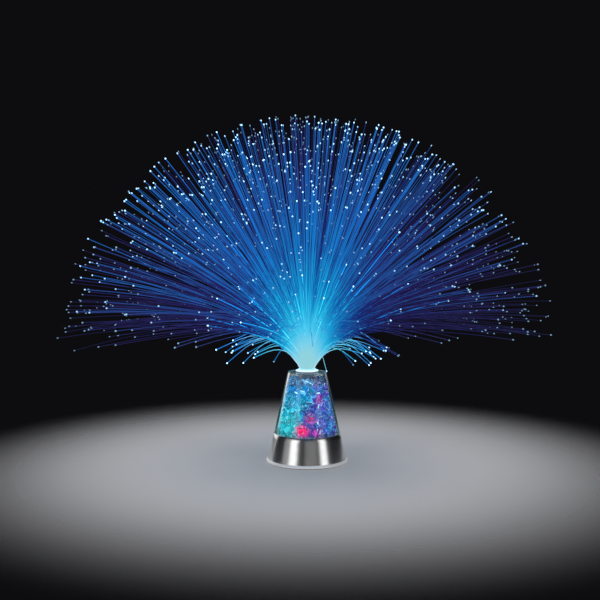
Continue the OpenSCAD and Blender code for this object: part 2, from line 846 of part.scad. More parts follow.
module fibre_tuft(t) {
    n = fibre_rings;
    // Way round the slice, from the middle out, along the arc and back
    edge = concat(
        [for (i = [0:n]) [i, 0]],
        [for (j = [1:n]) [n, j]],
        [for (i = [n - 1:-1:1]) [i, i]]
    );
    edge_count = len(edge);
    tops = [for (i = [0:n], j = [0:i]) lattice_point(t, i, j)];
    lows = [for (e = edge) lattice_point(t, e[0], e[1]) - [0, 0, slice_t]];
    low_first = len(tops);
    low_middle = low_first + edge_count;
    middle_a = tuft_span * (t + 0.5);
    middle = [lattice_r * 0.6 * cos(middle_a), lattice_r * 0.6 * sin(middle_a), slice_z];
    rings = [for (i = [0:n - 1], j = [0:i], k = [1:strand_parts]) each strand_ring(t, i, j, k)];
    function ring_at(i, j, k, v) = low_middle + 1 + 3 * (lattice_at(i, j) * strand_parts + k - 1) + v;
    function foot(i, j) = [lattice_at(i, j), lattice_at(i + 1, j), lattice_at(i + 1, j + 1)];
    function corner(i, j, k, v) = k == 0 ? foot(i, j)[v % 3] : ring_at(i, j, k, v % 3);
    flats = [
        for (i = [1:n - 1], j = [0:i - 1])
            [lattice_at(i, j), lattice_at(i, j + 1), lattice_at(i + 1, j + 1)]
    ];
    strands = [
        for (i = [0:n - 1], j = [0:i], k = [0:strand_parts - 1], v = [0:2])
            each [
                [corner(i, j, k, v), corner(i, j, k + 1, v), corner(i, j, k + 1, v + 1)],
                [corner(i, j, k, v), corner(i, j, k + 1, v + 1), corner(i, j, k, v + 1)],
            ]
    ];
    tips = [
        for (i = [0:n - 1], j = [0:i])
            let (k = strand_parts) [ring_at(i, j, k, 0), ring_at(i, j, k, 2), ring_at(i, j, k, 1)]
    ];
    walls = [
        for (b = [0:edge_count - 1])
            let (
                c = (b + 1) % edge_count,
                top_b = lattice_at(edge[b][0], edge[b][1]),
                top_c = lattice_at(edge[c][0], edge[c][1])
            )
                each [
                    [top_b, top_c, low_first + c],
                    [top_b, low_first + c, low_first + b],
                    [low_first + b, low_first + c, low_middle],
                ]
    ];
    color([0.35, 0.75, 1])
        polyhedron(
            points = concat(tops, lows, [middle], rings),
            faces = concat(flats, strands, tips, walls)
        );
}

foot_ring();
base_cover();
battery_door();
cover_screws();
base_housing();
skirt();
battery_cells();
battery_springs();
contact_plates();
switch_body();
switch_slider();
switch_screws();
red_leads();
black_lead();
led_board();
crystal_leds();
spray_led();
control_chip();
resistors();
board_screws();
reflector();
cone_shell();
cone_floor();
light_guide();
crystals();
top_plate();
socket_collar();
spray_ferrule();
bundle_core();
fibre_tuft(0);  // fibre_tuft_1
fibre_tuft(1);  // fibre_tuft_2
fibre_tuft(2);  // fibre_tuft_3
fibre_tuft(3);  // fibre_tuft_4
fibre_tuft(4);  // fibre_tuft_5
fibre_tuft(5);  // fibre_tuft_6
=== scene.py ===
import math
import bpy
import numpy as np
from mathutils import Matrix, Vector


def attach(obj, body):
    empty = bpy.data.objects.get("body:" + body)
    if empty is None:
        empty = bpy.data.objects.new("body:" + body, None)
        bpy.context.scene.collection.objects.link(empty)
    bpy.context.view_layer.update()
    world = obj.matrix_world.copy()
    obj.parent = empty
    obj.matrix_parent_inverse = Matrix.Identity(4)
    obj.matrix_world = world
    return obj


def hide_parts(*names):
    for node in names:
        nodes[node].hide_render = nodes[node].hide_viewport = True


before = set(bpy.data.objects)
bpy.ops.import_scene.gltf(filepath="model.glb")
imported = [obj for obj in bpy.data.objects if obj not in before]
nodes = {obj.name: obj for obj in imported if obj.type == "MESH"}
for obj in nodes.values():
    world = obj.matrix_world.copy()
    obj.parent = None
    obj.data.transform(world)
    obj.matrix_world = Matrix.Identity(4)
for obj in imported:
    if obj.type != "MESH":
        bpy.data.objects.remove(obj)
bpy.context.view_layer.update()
print("frame loaded:", len(nodes), "nodes")


# small helpers for working as by hand

def clearSelection():
    if bpy.context.object and bpy.context.object.mode != "OBJECT":
        bpy.ops.object.mode_set(mode="OBJECT")
    bpy.ops.object.select_all(action="DESELECT")


def pick(obj):
    clearSelection()
    obj.select_set(True)
    bpy.context.view_layer.objects.active = obj


def settle(obj):  # puts the place, turn and scale in the mesh
    pick(obj)
    bpy.ops.object.transform_apply(location=True, rotation=True, scale=True)


def linkNew(name, data):
    obj = bpy.data.objects.new(name, data)
    bpy.context.scene.collection.objects.link(obj)
    return obj


def copyOf(obj, at, turn=(0, 0, 0)):
    copy = linkNew(obj.name, obj.data.copy())
    copy.location = at
    copy.rotation_euler = turn
    settle(copy)
    return copy


def joinAll(objs, name):
    clearSelection()
    for o in objs:
        o.select_set(True)
    bpy.context.view_layer.objects.active = objs[0]
    bpy.ops.object.join()
    objs[0].name = name
    objs[0].data.name = name
    return objs[0]


def smooth(obj, degrees):
    pick(obj)
    bpy.ops.object.shade_smooth_by_angle(angle=math.radians(degrees))


def selectWhere(obj, parts, test):  # picks edges or points by a test, and ends in edit mode
    bpy.ops.object.mode_set(mode="EDIT")
    bpy.ops.mesh.select_mode(type="VERT" if parts == "vertices" else "EDGE")
    bpy.ops.mesh.select_all(action="DESELECT")
    bpy.ops.object.mode_set(mode="OBJECT")
    for p in getattr(obj.data, parts):
        p.select = test(p)
    bpy.ops.object.mode_set(mode="EDIT")


def faceOut():  # ends edit mode with all faces pointing outwards
    bpy.ops.mesh.select_all(action="SELECT")
    bpy.ops.mesh.normals_make_consistent(inside=False)
    bpy.ops.object.mode_set(mode="OBJECT")


def turnProfile(name, points, steps, degrees):  # a profile in X and Z, spun round the lamp's axis
    clearSelection()
    bpy.ops.mesh.primitive_plane_add(size=0.002)
    obj = bpy.context.object
    obj.name = name
    obj.data.name = name
    bpy.ops.object.mode_set(mode="EDIT")
    bpy.ops.mesh.select_mode(type="VERT")
    bpy.ops.mesh.select_all(action="SELECT")
    bpy.ops.mesh.merge(type="CENTER")  # one point to draw from
    bpy.ops.transform.translate(value=(points[0][0], 0, points[0][1]))
    for a, b in zip(points, points[1:]):
        bpy.ops.mesh.extrude_region_move(TRANSFORM_OT_translate={"value": (b[0] - a[0], 0, b[1] - a[1])})
    bpy.ops.mesh.select_all(action="SELECT")
    bpy.ops.mesh.spin(steps=steps, angle=2 * math.pi, center=(0, 0, 0), axis=(0, 0, 1))
    bpy.ops.mesh.select_all(action="SELECT")
    bpy.ops.mesh.remove_doubles(threshold=0.000001)
    faceOut()
    smooth(obj, degrees)
    return obj


def turnRing(name, points, steps, degrees):  # a closed profile
    return turnProfile(name, points + points[:1], steps, degrees)


def standFor(obj, body, slot, *names):
    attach(obj, body)
    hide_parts(*names)


def paint(material, *objs):
    for o in objs:
        o.data.materials.clear()
        o.data.materials.append(material)


def share(value, low, high):  # how far a value has come from low to high, from 0 to 1
    return np.clip((value - low) / (high - low), 0, 1)


# material helpers

def feed(tree, node, inputs):  # an input takes a plain value or another node's socket
    for key, value in inputs.items():
        if isinstance(value, bpy.types.NodeSocket):
            tree.links.new(value, node.inputs[key])
        else:
            node.inputs[key].default_value = value


def addNode(tree, kind, inputs, **settings):
    node = tree.nodes.new("ShaderNode" + kind)
    for key, value in settings.items():
        setattr(node, key, value)
    feed(tree, node, inputs)
    return node


def newFinish(name, colour, roughness, metallic=0.0):
    material = bpy.data.materials.new(name)
    material.use_nodes = True
    tree = material.node_tree
    shader = tree.nodes["Principled BSDF"]
    feed(tree, shader, {"Base Color": (*colour, 1), "Roughness": roughness, "Metallic": metallic})
    return material, tree, shader


def placeOf(tree):  # Object coordinates
    return addNode(tree, "TexCoord", {}).outputs["Object"]


def axesOf(tree, place):
    return addNode(tree, "SeparateXYZ", {"Vector": place}).outputs


def attributeOf(tree, name, output="Fac"):
    return addNode(tree, "Attribute", {}, attribute_name=name).outputs[output]


def grainOf(tree, scale, detail, stretch=(1, 1, 1)):  # noise on Object coordinates
    place = addNode(tree, "Mapping", {"Vector": placeOf(tree), "Scale": stretch}).outputs["Vector"]
    noise = {"Vector": place, "Scale": scale, "Detail": detail, "Roughness": 0.55}
    return addNode(tree, "TexNoise", noise).outputs["Fac"]


def spanOf(tree, source, low, high, fromLow=0.3, fromHigh=0.7, ease="LINEAR"):  # a value spread over a range
    ends = {"Value": source, "From Min": fromLow, "From Max": fromHigh, "To Min": low, "To Max": high}
    return addNode(tree, "MapRange", ends, interpolation_type=ease).outputs["Result"]


def rampOf(tree, source, stops):
    ramp = addNode(tree, "ValToRGB", {"Fac": source})
    line = ramp.color_ramp
    while len(line.elements) < len(stops):
        line.elements.new(0.5)
    for mark, (at, colour) in zip(line.elements, stops):
        mark.position = at
        mark.color = (*colour, 1)
    return ramp.outputs["Color"]


def mixOf(tree, factor, a, b, kind="RGBA"):
    ends = {"Factor": factor, "A": a, "B": b}
    return addNode(tree, "Mix", ends, data_type=kind).outputs["Result"]


def mathOf(tree, operation, a, b):
    return addNode(tree, "Math", {0: a, 1: b}, operation=operation).outputs[0]


def dent(tree, shader, height, strength, distance):
    bump = addNode(tree, "Bump", {"Height": height, "Strength": strength, "Distance": distance})
    feed(tree, shader, {"Normal": bump.outputs["Normal"]})


def grainedFinish(name, dark, light, roughness, scale, metallic=0.0, bump=0.15):
    material, tree, shader = newFinish(name, light, roughness[0], metallic)
    grain = grainOf(tree, scale, 4.0)
    feed(tree, shader, {"Base Color": rampOf(tree, grain, [(0.3, dark), (0.7, light)]),
                        "Roughness": spanOf(tree, grain, *roughness)})
    dent(tree, shader, grain, bump, 0.0001)
    return material, tree, shader


# stage: camera, softboxes, backdrop and floor

stage = {
    "cameraAt": (-0.0069, -0.9, 0.21),
    "pitch": 3.3,
    "lens": 55.6,
    "floorWide": 12,
    "floorPale": (0.6, 0.6, 0.61),
    "backdrop": (0.004, 0.004, 0.005),
    # distances over which the floor fades out, a painted pool of light round the lamp
    "lightPoolFrom": 0.1,
    "lightPoolTo": 0.4,
    "fill": 0.4,
    "aimHigh": 0.12,
    # degrees to the right of the camera, height, width, tall, distance, brightness
    "softboxes": [
        (-43, 0.45, 0.62, 1.0, 1.4, 1.4),
        (-67, 0.45, 0.56, 1.0, 1.4, 0.28),
        (52, 0.45, 0.55, 1.0, 1.4, 1.4),
        (11, 0.5, 1.0, 1.0, 1.5, 0.18),
        (-140, 0.5, 1.1, 1.0, 1.5, 1.0),
        (158, 0.5, 0.7, 1.0, 1.5, 0.6),
    ],
    # height, width, brightness
    "overhead": (1.1, 1.2, 1.2),
    "underTable": (-0.7, 1.6, 1.6),
}


def setCamera():
    data = bpy.data.cameras.new("photoCamera")
    data.lens = stage["lens"]
    data.sensor_width = 36
    camera = linkNew("photoCamera", data)
    camera.location = stage["cameraAt"]
    camera.rotation_euler = (math.radians(90 - stage["pitch"]), 0, 0)
    bpy.context.scene.camera = camera


def addSoftbox(name, at, aim, wide, tall, bright):
    lamp = bpy.data.lights.new(name, "AREA")
    lamp.shape = "RECTANGLE"
    lamp.size = wide
    lamp.size_y = tall
    lamp.energy = bright * math.pi * wide * tall
    obj = linkNew(name, lamp)
    obj.location = at
    obj.rotation_euler = (Vector(aim) - Vector(at)).to_track_quat("-Z", "Y").to_euler()


def lightStage():
    for k, (turn, high, wide, tall, away, bright) in enumerate(stage["softboxes"]):
        a = math.radians(turn)
        at = (away * math.sin(a), -away * math.cos(a), high)
        addSoftbox("softbox%d" % k, at, (0, 0, stage["aimHigh"]), wide, tall, bright)
    for name in ("overhead", "underTable"):
        high, size, bright = stage[name]
        addSoftbox(name, (0, 0, high), (0, 0, 0), size, size, bright)


def hangBackdrop():  # the camera, metal and glass see the backdrop, and the rest gets the fill light
    world = bpy.data.worlds.new("studio")
    bpy.context.scene.world = world
    world.use_nodes = True
    tree = world.node_tree
    tree.nodes.clear()
    path = addNode(tree, "LightPath", {}).outputs
    seen = mathOf(tree, "ADD", path["Is Camera Ray"], path["Is Glossy Ray"])
    either = addNode(tree, "Math", {0: seen, 1: path["Is Transmission Ray"]}, operation="ADD", use_clamp=True)
    fill = addNode(tree, "Background", {"Color": (1, 1, 1, 1), "Strength": stage["fill"]})
    backdrop = addNode(tree, "Background", {"Color": (*stage["backdrop"], 1)})
    sides = {0: either.outputs[0], 1: fill.outputs[0], 2: backdrop.outputs[0]}
    addNode(tree, "OutputWorld", {"Surface": addNode(tree, "MixShader", sides).outputs[0]})


def layFloor():
    clearSelection()
    bpy.ops.mesh.primitive_plane_add(size=stage["floorWide"])
    floor = bpy.context.object
    floor.name = "floor"
    material, tree, shader = newFinish("paleFloor", stage["floorPale"], 0.7)
    feed(tree, shader, {"Specular IOR Level": 0.1})
    away = addNode(tree, "VectorMath", {0: placeOf(tree)}, operation="LENGTH").outputs["Value"]
    # painted pool of light: further from the lamp the floor turns see-through over the dark backdrop
    far = spanOf(tree, away, 0, 1, stage["lightPoolFrom"], stage["lightPoolTo"], "SMOOTHERSTEP")
    below = addNode(tree, "NewGeometry", {}).outputs["Backfacing"]
    shadow = addNode(tree, "LightPath", {}).outputs["Is Shadow Ray"]
    through = mathOf(tree, "MAXIMUM", mathOf(tree, "MAXIMUM", below, far), shadow)
    clear = addNode(tree, "BsdfTransparent", {})  # far off, from below, and for the light under it
    side = addNode(tree, "MixShader", {0: through, 1: shader.outputs[0], 2: clear.outputs[0]})
    feed(tree, tree.nodes["Material Output"], {"Surface": side.outputs[0]})
    paint(material, floor)


bpy.context.scene.view_settings.view_transform = "Standard"
setCamera()
lightStage()
hangBackdrop()
layFloor()
print("stage set")


# fibre spray: one fibre is modelled, then copied and bent along its own curve, a sixth of the spray a piece

spray = {
    "fibresPerSixth": 300,
    "length": 0.243,
    "halfThick": 0.00022,
    "girth": (0.85, 0.6, 1.3),  # least, more with light, up to this light
    "tipHalf": 0.0005,
    "flare": ((0.0003, 0.8), (0.0006, 1), (0.0006, 0.55)),  # rise and share of tipHalf
    "sides": 4,
    "rings": 11,
    "ringPower": 1.5,  # rings lie closer where the fibre bends
    "rootZ": 0.0906,
    "rootRadius": 0.0066,
    "potting": (0.09, 0.0914),
    "pottingRim": 0.00009,
    "pottingSides": 48,
    # bunches of fibres
    "bunchRings": 10,
    "bunchShort": 0.14,
    "cellMiddle": 2 / 3,
    "leanScatter": 0.6,
    "gather": 0.3,
    "waves": ((14, 1), (6, 0.5)),  # waves round the spray and their shares
    "waveFrom": 40,
    "tight": 1.3,
    "loose": 3.8,
    # the fan's bend, with angles in degrees
    "fanLean": 68,
    "edgeLean": 83,
    "edgePower": 6,
    "droop": 16,
    "droopPower": 4,
    "rootShare": 0.3,
    "bendRate": (3.8, 4.6, 5.6),
    "fallShort": 0.36,
    "fallPower": 2.2,
    "sway": 5,
    "parted": 0.3,  # share of the run after which a fibre is in its own place
    "sag": 7,
    "sagFrom": 0.86,
    "sagRun": 0.35,
    "sagStart": 0.4,
    "frontRim": (-0.5, 0.8),  # fibres in front of the stand, by sine of the turn and place
    # short ends that arc over beside the neck, one count for each sixth
    "arcs": (4, 0, 4, 10, 0, 11),
    "arcPlace": 0.96,
    "arc": {"reach": (0.22, 0.43), "arcFrom": (9, 33), "arcTo": (106, 132), "tone": (0.5, 1.1)},
    "arcBend": (0.06, 0.85),
    "arcPull": 27,
    "arcShine": 0.45,
    "arcFade": (1.3, 1.4),
    "hookSixth": 5,  # where one end hangs down by the plug
    "hook": {"reach": 0.146, "arcFrom": 8, "arcTo": 165, "bendFrom": 0.28, "bendTo": 0.67},
    # short bright fibres within the fan
    "shorts": (3, 2, 3, 9, 6, 8),
    "shortPlace": (0.45, 0.93),
    "short": {"reach": (0.34, 0.66), "rate": (6, 9), "lean": (4, 17)},
    "shortTone": 5,
    # light
    "toneMix": (1.2, 1.5, 0.92),  # own part, bunch's part, loss
    "outerDim": 1.0,
    "midDim": 0.45,
    "sideDim": 0.6,
    "sideTurn": 20,
    "lowFrom": (0.78, 0.98),
    "lowSides": (0.72, 0.2),  # both sides, and more at the right
    "lowDark": 1.0,
    "lowLit": 0.18,
    "litFrom": 0.95,
    "rimFrom": (0.86, 0.96),
    "rimRun": 0.13,
    "rimPower": 8,
    "tipMark": 0.97,  # UV from here on is the tip
    "glowNarrow": (2.2, 0.18, 1.0),
    "glowStops": (0.0, 0.08, 0.13, 0.19, 0.26, 0.34, 0.5, 0.7),
    "dimGlow": ((0.3, 0.63, 0.68), (0.26, 0.63, 0.71), (0.15, 0.58, 0.79), (0.025, 0.46, 0.75),
                (0.004, 0.25, 0.57), (0.003, 0.08, 0.36), (0.008, 0.017, 0.16), (0.014, 0.009, 0.095)),
    "brightGlow": ((0.32, 0.65, 0.7), (0.28, 0.65, 0.73), (0.27, 0.73, 0.88), (0.14, 0.78, 0.96),
                   (0.04, 0.74, 0.97), (0.015, 0.6, 0.96), (0.005, 0.34, 0.92), (0.004, 0.22, 0.8)),
    "rimLight": (0.62, 0.9, 0.98, 1),
    "tipLight": (0.36, 0.68, 1.0, 1),
    "seed": 40,
}


def modelFibre():
    long, half = spray["length"], spray["halfThick"]
    clearSelection()
    bpy.ops.mesh.primitive_cylinder_add(vertices=spray["sides"], radius=half, depth=long,
                                        end_fill_type="NOTHING", location=(0, 0, long / 2))
    fibre = bpy.context.object
    settle(fibre)

    def heights(edge):
        return [fibre.data.vertices[v].co.z for v in edge.vertices]

    selectWhere(fibre, "edges", lambda e: max(heights(e)) - min(heights(e)) > long / 2)
    bpy.ops.mesh.subdivide(number_cuts=spray["rings"])
    selectWhere(fibre, "edges", lambda e: min(heights(e)) > long * 0.999)
    for rise, part in spray["flare"]:  # heat-flared end
        wide = spray["tipHalf"] * part
        bpy.ops.mesh.extrude_region_move(TRANSFORM_OT_translate={"value": (0, 0, rise)})
        bpy.ops.transform.resize(value=(wide / half, wide / half, 1), center_override=(0, 0, long))
        half = wide
    bpy.ops.mesh.edge_face_add()
    faceOut()
    return fibre


def fanLean(u, s, rate):  # upright at the neck, then over to its own lean
    spread = spray["fanLean"] * u + (spray["edgeLean"] - spray["fanLean"]) * u ** spray["edgePower"]
    upright = (1 - np.minimum(s, 1)) ** rate
    droop = spray["droop"] * u ** spray["droopPower"] * s
    return spread * (1 - (1 - spray["rootShare"]) * upright) + droop


def chanceOf(n):  # a number from 0 to 1 that looks like chance
    x = 971.3 * math.sin(math.radians(127.1 * n + 31.7))
    return x - math.floor(x)


def bunchesOf(index):  # place in the bundle, turn and reach of each bunch of a sixth
    bunches = []
    for i in range(spray["bunchRings"]):
        for j in range(i + 1):
            key = i * (i + 1) / 2 + j + 101 * (index % 3)
            u = (i + spray["cellMiddle"] + spray["leanScatter"] * (chanceOf(key) - 0.5)) / spray["bunchRings"]
            a = 60 * (index + (j + 0.5) / (i + 1))
            waves = sum(part * math.degrees(math.sin(math.radians(n * a + spray["waveFrom"]))) / n
                        for n, part in spray["waves"])
            reach = 1 - spray["bunchShort"] * chanceOf(key + 0.5) ** 2
            bunches.append((u, a + spray["gather"] * waves, reach))
    return np.array(bunches)


def scatterFibres(index, dice):  # each fibre's place in the bundle and in the fan, its reach, bend and light
    count = spray["fibresPerSixth"]
    bunches = bunchesOf(index)
    own = np.arange(count) % len(bunches)
    u, a, reach = bunches[own].T
    loose = dice.rand(count) ** spray["tight"]
    loose[:len(bunches)] = 0  # the first fibre of a bunch is its middle
    stray = spray["loose"] * loose
    cell = 1 / spray["bunchRings"]
    ownPart, bunchPart, loss = spray["toneMix"]
    fibres = {
        "rootU": np.clip(u + cell * dice.uniform(-0.5, 0.5, count), 0.02, 1),
        "rootTurn": a + 30 * cell / np.maximum(u, cell) * dice.uniform(-1, 1, count),
        "u": np.clip(u + stray / spray["fanLean"] * dice.normal(size=count), 0.01, 1),
        "turn": a + stray / np.sin(np.radians(np.maximum(8, spray["fanLean"] * u))) * dice.normal(size=count),
        "reach": np.where(loose > 0, 1 - spray["fallShort"] * dice.rand(count) ** spray["fallPower"], reach),
        "lean": spray["sway"] * loose * dice.uniform(-1, 1, count),
        "swing": spray["sway"] * loose * dice.uniform(-1, 1, count),
        "sag": spray["sag"] * (loose > 0) * dice.rand(count),
        "rate": np.where(loose > 0, dice.uniform(*spray["bendRate"][::2], count), spray["bendRate"][1]),
        **{key: np.zeros(count) for key in ("arc", "arcFrom", "arcTo")},
        "bendFrom": np.full(count, spray["arcBend"][0]),
        "bendTo": np.full(count, spray["arcBend"][1]),
        "tone": np.clip(ownPart * dice.rand(count) + bunchPart * dice.rand(len(bunches))[own] - loss, 0, 1),
    }
    sine, place = spray["frontRim"]
    front = (np.sin(np.radians(fibres["turn"])) < sine) & (fibres["u"] > place)  # none hangs over the stand
    fibres["sag"][front | (fibres["u"] <= spray["sagFrom"])] = 0
    fibres["lean"][front] = -np.abs(fibres["lean"][front])
    arcs, shorts = spray["arcs"][index], spray["shorts"][index]
    for n in range(count - arcs - shorts, count - arcs):
        fibres["rootU"][n] = fibres["u"][n] = dice.uniform(*spray["shortPlace"])
        for key, limits in spray["short"].items():
            fibres[key][n] = dice.uniform(*limits)
        fibres["tone"][n] = spray["shortTone"]
    for n in range(count - arcs, count):
        fibres["rootU"][n] = fibres["u"][n] = spray["arcPlace"]
        turn = fibres["rootTurn"][n]
        turn -= spray["arcPull"] * math.sin(math.radians(2 * turn))  # towards the sides
        fibres["rootTurn"][n] = fibres["turn"][n] = turn
        for key, limits in spray["arc"].items():
            fibres[key][n] = dice.uniform(*limits)
        fibres["arc"][n] = 1
    if index == spray["hookSixth"]:
        for key, value in spray["hook"].items():
            fibres[key][-1] = value
    return fibres


def bendFibres(fibres, levels):  # centre, run and side of each fibre at each level
    way = {key: value[:, None] for key, value in fibres.items()}
    steps, past = 90, 1.02  # the path runs past the end, for the tip
    marks = np.linspace(0, past, steps + 1)[None]
    s = (marks[:, :-1] + marks[:, 1:]) / 2
    parted = share(s, 0, spray["parted"])
    u = way["rootU"] + (way["u"] - way["rootU"]) * parted
    lean = fanLean(u, s, way["rate"]) + way["lean"] * s ** 2
    sagging = spray["sagStart"] + (1 - spray["sagStart"]) * s
    lean = lean + way["sag"] * share(s, 0, spray["sagRun"]) * sagging
    over = share(s / way["reach"], way["bendFrom"], way["bendTo"])
    arc = way["arcFrom"] + (way["arcTo"] - way["arcFrom"]) * over ** 2 * (3 - 2 * over)
    lean = np.radians(np.where(way["arc"] > 0, arc, lean))
    turn = np.radians(way["rootTurn"] + (way["turn"] - way["rootTurn"]) * parted + way["swing"] * s)
    run = np.stack([np.sin(lean) * np.cos(turn), np.sin(lean) * np.sin(turn), np.cos(lean)], 2)
    side = np.stack([-np.sin(turn), np.cos(turn), 0 * turn], 2)
    a = np.radians(fibres["rootTurn"])
    root = np.stack([np.cos(a), np.sin(a), 0 * a], 1) * way["rootU"]
    root = (root * spray["rootRadius"] + np.array([0, 0, spray["rootZ"]]))[:, None]
    path = np.concatenate([root, root + np.cumsum(run, 1) * spray["length"] * past / steps], 1)
    at = np.where(levels <= 1, levels * way["reach"], way["reach"] + levels - 1) / past * steps
    low = np.clip(at.astype(int), 0, steps - 1)
    part = (at - low)[:, :, None]
    rows = np.arange(len(at))[:, None]
    centre = path[rows, low] * (1 - part) + path[rows, low + 1] * part
    return centre, run[rows, low], side[rows, low]


def cutSlice(index):  # the sixth of the potting that holds a tuft's roots
    low, high = spray["potting"]
    wide = spray["rootRadius"] + spray["pottingRim"]
    clearSelection()
    bpy.ops.mesh.primitive_cylinder_add(vertices=spray["pottingSides"], radius=wide, depth=high - low,
                                        location=(0, 0, (low + high) / 2))
    potting = bpy.context.object
    settle(potting)
    bpy.ops.object.mode_set(mode="EDIT")
    for turn, way in ((60 * index, -1), (60 * index + 60, 1)):
        bpy.ops.mesh.select_all(action="SELECT")
        a = math.radians(turn)
        bpy.ops.mesh.bisect(plane_co=(0, 0, 0), plane_no=(-way * math.sin(a), way * math.cos(a), 0),
                            use_fill=True, clear_outer=True)
    faceOut()
    return potting


def toneOf(fibres):  # how much light each fibre carries
    own, u, turn = fibres["tone"], fibres["u"], fibres["turn"]
    tone = own * (1 - spray["outerDim"] * u ** 3) * (1 - spray["midDim"] * (1 - u) ** 2)
    tone *= 1 - spray["sideDim"] * u * np.clip(np.cos(np.radians(turn + spray["sideTurn"])), 0, 1)
    aside = np.cos(np.radians(turn))
    both, right = spray["lowSides"]
    low = share(u, *spray["lowFrom"]) * aside ** 2 * (both + right * aside)
    tone += low * np.where(own > spray["litFrom"], spray["lowLit"], -spray["lowDark"])
    return np.where(fibres["arc"] > 0, own, tone)


def shineOf(fibres, levels):  # at the neck arcs shine, and so do the outermost fibres at both sides
    way = {key: value[:, None] for key, value in fibres.items()}
    rim = share(way["rootU"], *spray["rimFrom"]) * share(levels, spray["rimRun"], 0)
    rim = rim * np.cos(np.radians(way["rootTurn"])) ** spray["rimPower"]
    most, loss = spray["arcFade"]
    shine = spray["arcShine"] * np.clip(most - loss * levels, 0, 1) * way["tone"]
    return np.where(way["arc"] > 0, shine, rim)


def growSixth(index, fibre, finish):
    dice = np.random.RandomState(spray["seed"] + index)
    co = np.array([v.co for v in fibre.data.vertices])
    h = co[:, 2] / spray["length"]
    levels = np.where(h < 1, np.clip(h, 0, 1) ** spray["ringPower"], h)
    fibres = scatterFibres(index, dice)
    centre, run, side = bendFibres(fibres, levels)
    thin, more, most = spray["girth"]
    girth = (thin + more * np.minimum(fibres["tone"], most))[:, None, None]
    points = centre + girth * (co[None, :, :1] * side + co[None, :, 1:2] * np.cross(side, run))
    faces = [[v + n * len(co) for v in p.vertices] for n in range(len(points)) for p in fibre.data.polygons]
    name = "fibreTuft%d" % (index + 1)
    mesh = bpy.data.meshes.new(name)
    mesh.from_pydata(points.reshape(-1, 3).tolist(), [], faces)
    corner = np.zeros(len(mesh.loops), np.int32)
    mesh.loops.foreach_get("vertex_index", corner)
    along = np.clip(levels, 0, 1) * spray["tipMark"] + (1 - spray["tipMark"]) * (levels > 1.0005)
    uv = np.stack([along[corner % len(co)], toneOf(fibres)[corner // len(co)]], 1)
    mesh.uv_layers.new(name="run").data.foreach_set("uv", uv.astype(np.float32).ravel())
    shine = shineOf(fibres, levels).astype(np.float32)
    mesh.attributes.new("rim", "FLOAT", "POINT").data.foreach_set("value", shine.ravel())
    tuft = linkNew(name, mesh)
    smooth(tuft, 60)
    tuft = joinAll([tuft, cutSlice(index)], name)
    paint(finish, tuft)
    return tuft


def fibreFinish():
    material, tree, shader = newFinish("litFibre", (0.002, 0.005, 0.014), 0.35)
    run = axesOf(tree, addNode(tree, "UVMap", {}, uv_map="run").outputs["UV"])
    along, tone = run["X"], run["Y"]
    scale = [k / spray["length"] for k in spray["glowNarrow"]]  # the glow above the plug is tall and narrow
    stretch = {"Vector": placeOf(tree), "Location": (0, 0, -spray["rootZ"] * scale[2]), "Scale": scale}
    near = addNode(tree, "Mapping", stretch).outputs["Vector"]
    far = addNode(tree, "VectorMath", {0: near}, operation="LENGTH").outputs["Value"]
    dim = rampOf(tree, far, list(zip(spray["glowStops"], spray["dimGlow"])))
    bright = rampOf(tree, far, list(zip(spray["glowStops"], spray["brightGlow"])))
    glow = mixOf(tree, tone, dim, bright)  # some fibres carry more light
    edge = mixOf(tree, attributeOf(tree, "rim"), glow, spray["rimLight"])
    tip = spanOf(tree, along, 0, 1, 0.972, 0.985)
    colour = mixOf(tree, tip, edge, spray["tipLight"])
    loss = spanOf(tree, tone, 0.75, 0, -1, 0)  # the darkest fibres lose light along their run
    loss = mathOf(tree, "MULTIPLY", loss, spanOf(tree, along, 0, 1, 0.1, 0.4))
    lit = mathOf(tree, "SUBTRACT", spanOf(tree, tone, 1, 1.5, 1, 2), loss)
    strength = mixOf(tree, tip, lit, spanOf(tree, tone, 0.5, 3.0, 0, 0.8), "FLOAT")  # the tips shine
    feed(tree, shader, {"Specular IOR Level": 0.05, "Emission Color": colour, "Emission Strength": strength})
    return material


litFibre = fibreFinish()
oneFibre = modelFibre()
for sixth in range(6):
    standFor(growSixth(sixth, oneFibre, litFibre), "spray", "lit_fibre", "fibre_tuft_%d" % (sixth + 1))
bpy.data.objects.remove(oneFibre)
print("spray grown:", 6 * spray["fibresPerSixth"], "fibres")


# stand: steel skirt, clear cone, top plate and pale collar, all turned round one axis

stand = {
    "footRadius": 0.0390645,
    "topRadius": 0.0188,
    "high": 0.088,
    "skirtTop": 0.0285,
    "skirtOuter": (0.0283, 0.024, 0.018, 0.012, 0.007, 0.0042),  # heights down the outside
    "skirtInner": (0.004, 0.012, 0.02, 0.0282),  # and up the inside
    "skirtEdge": (0.0006, 0.0002),
    "steelThick": 0.0008,
    "lip": [(0.03822, 0.0036), (0.03862, 0.00302), (0.03935, 0.00252), (0.0398, 0.0021), (0.03998, 0.0017),
            (0.03985, 0.00125), (0.0394, 0.00102), (0.0386, 0.00101), (0.0381, 0.0013), (0.0378, 0.002)],
    # heights where the lip's painted highlight fades into the steel
    "lipHighlightFade": (0.0033, 0.0038),
    "spigotLow": 0.0225,
    "spigotGap": 0.00015,
    "seamGap": 0.0001,
    "clearThick": 0.0018,
    "coneMiddle": 0.05,
    "coneChamfer": 0.00025,
    "plateThick": 0.0025,
    "plateGap": 0.00005,
    "plateChamfer": 0.0002,
    "flange": (0.011, 0.0018),  # radius, thickness
    "socket": (0.009, 0.0076, 0.072, 0.0745, 0.0059),  # outside, bore, foot, ledge, throat
    "collarChamfer": 0.0004,
    "collarLight": (0.085, 0.0921),  # the tube is dim, the flange and the plug's rim are lit
    "rim": (0.0086, 0.0899, 0.0914),  # radius, foot, top
    "plug": (0.00752, 0.00682, 0.0747),  # outside, bore, foot
    "plugChamfer": 0.0003,
}


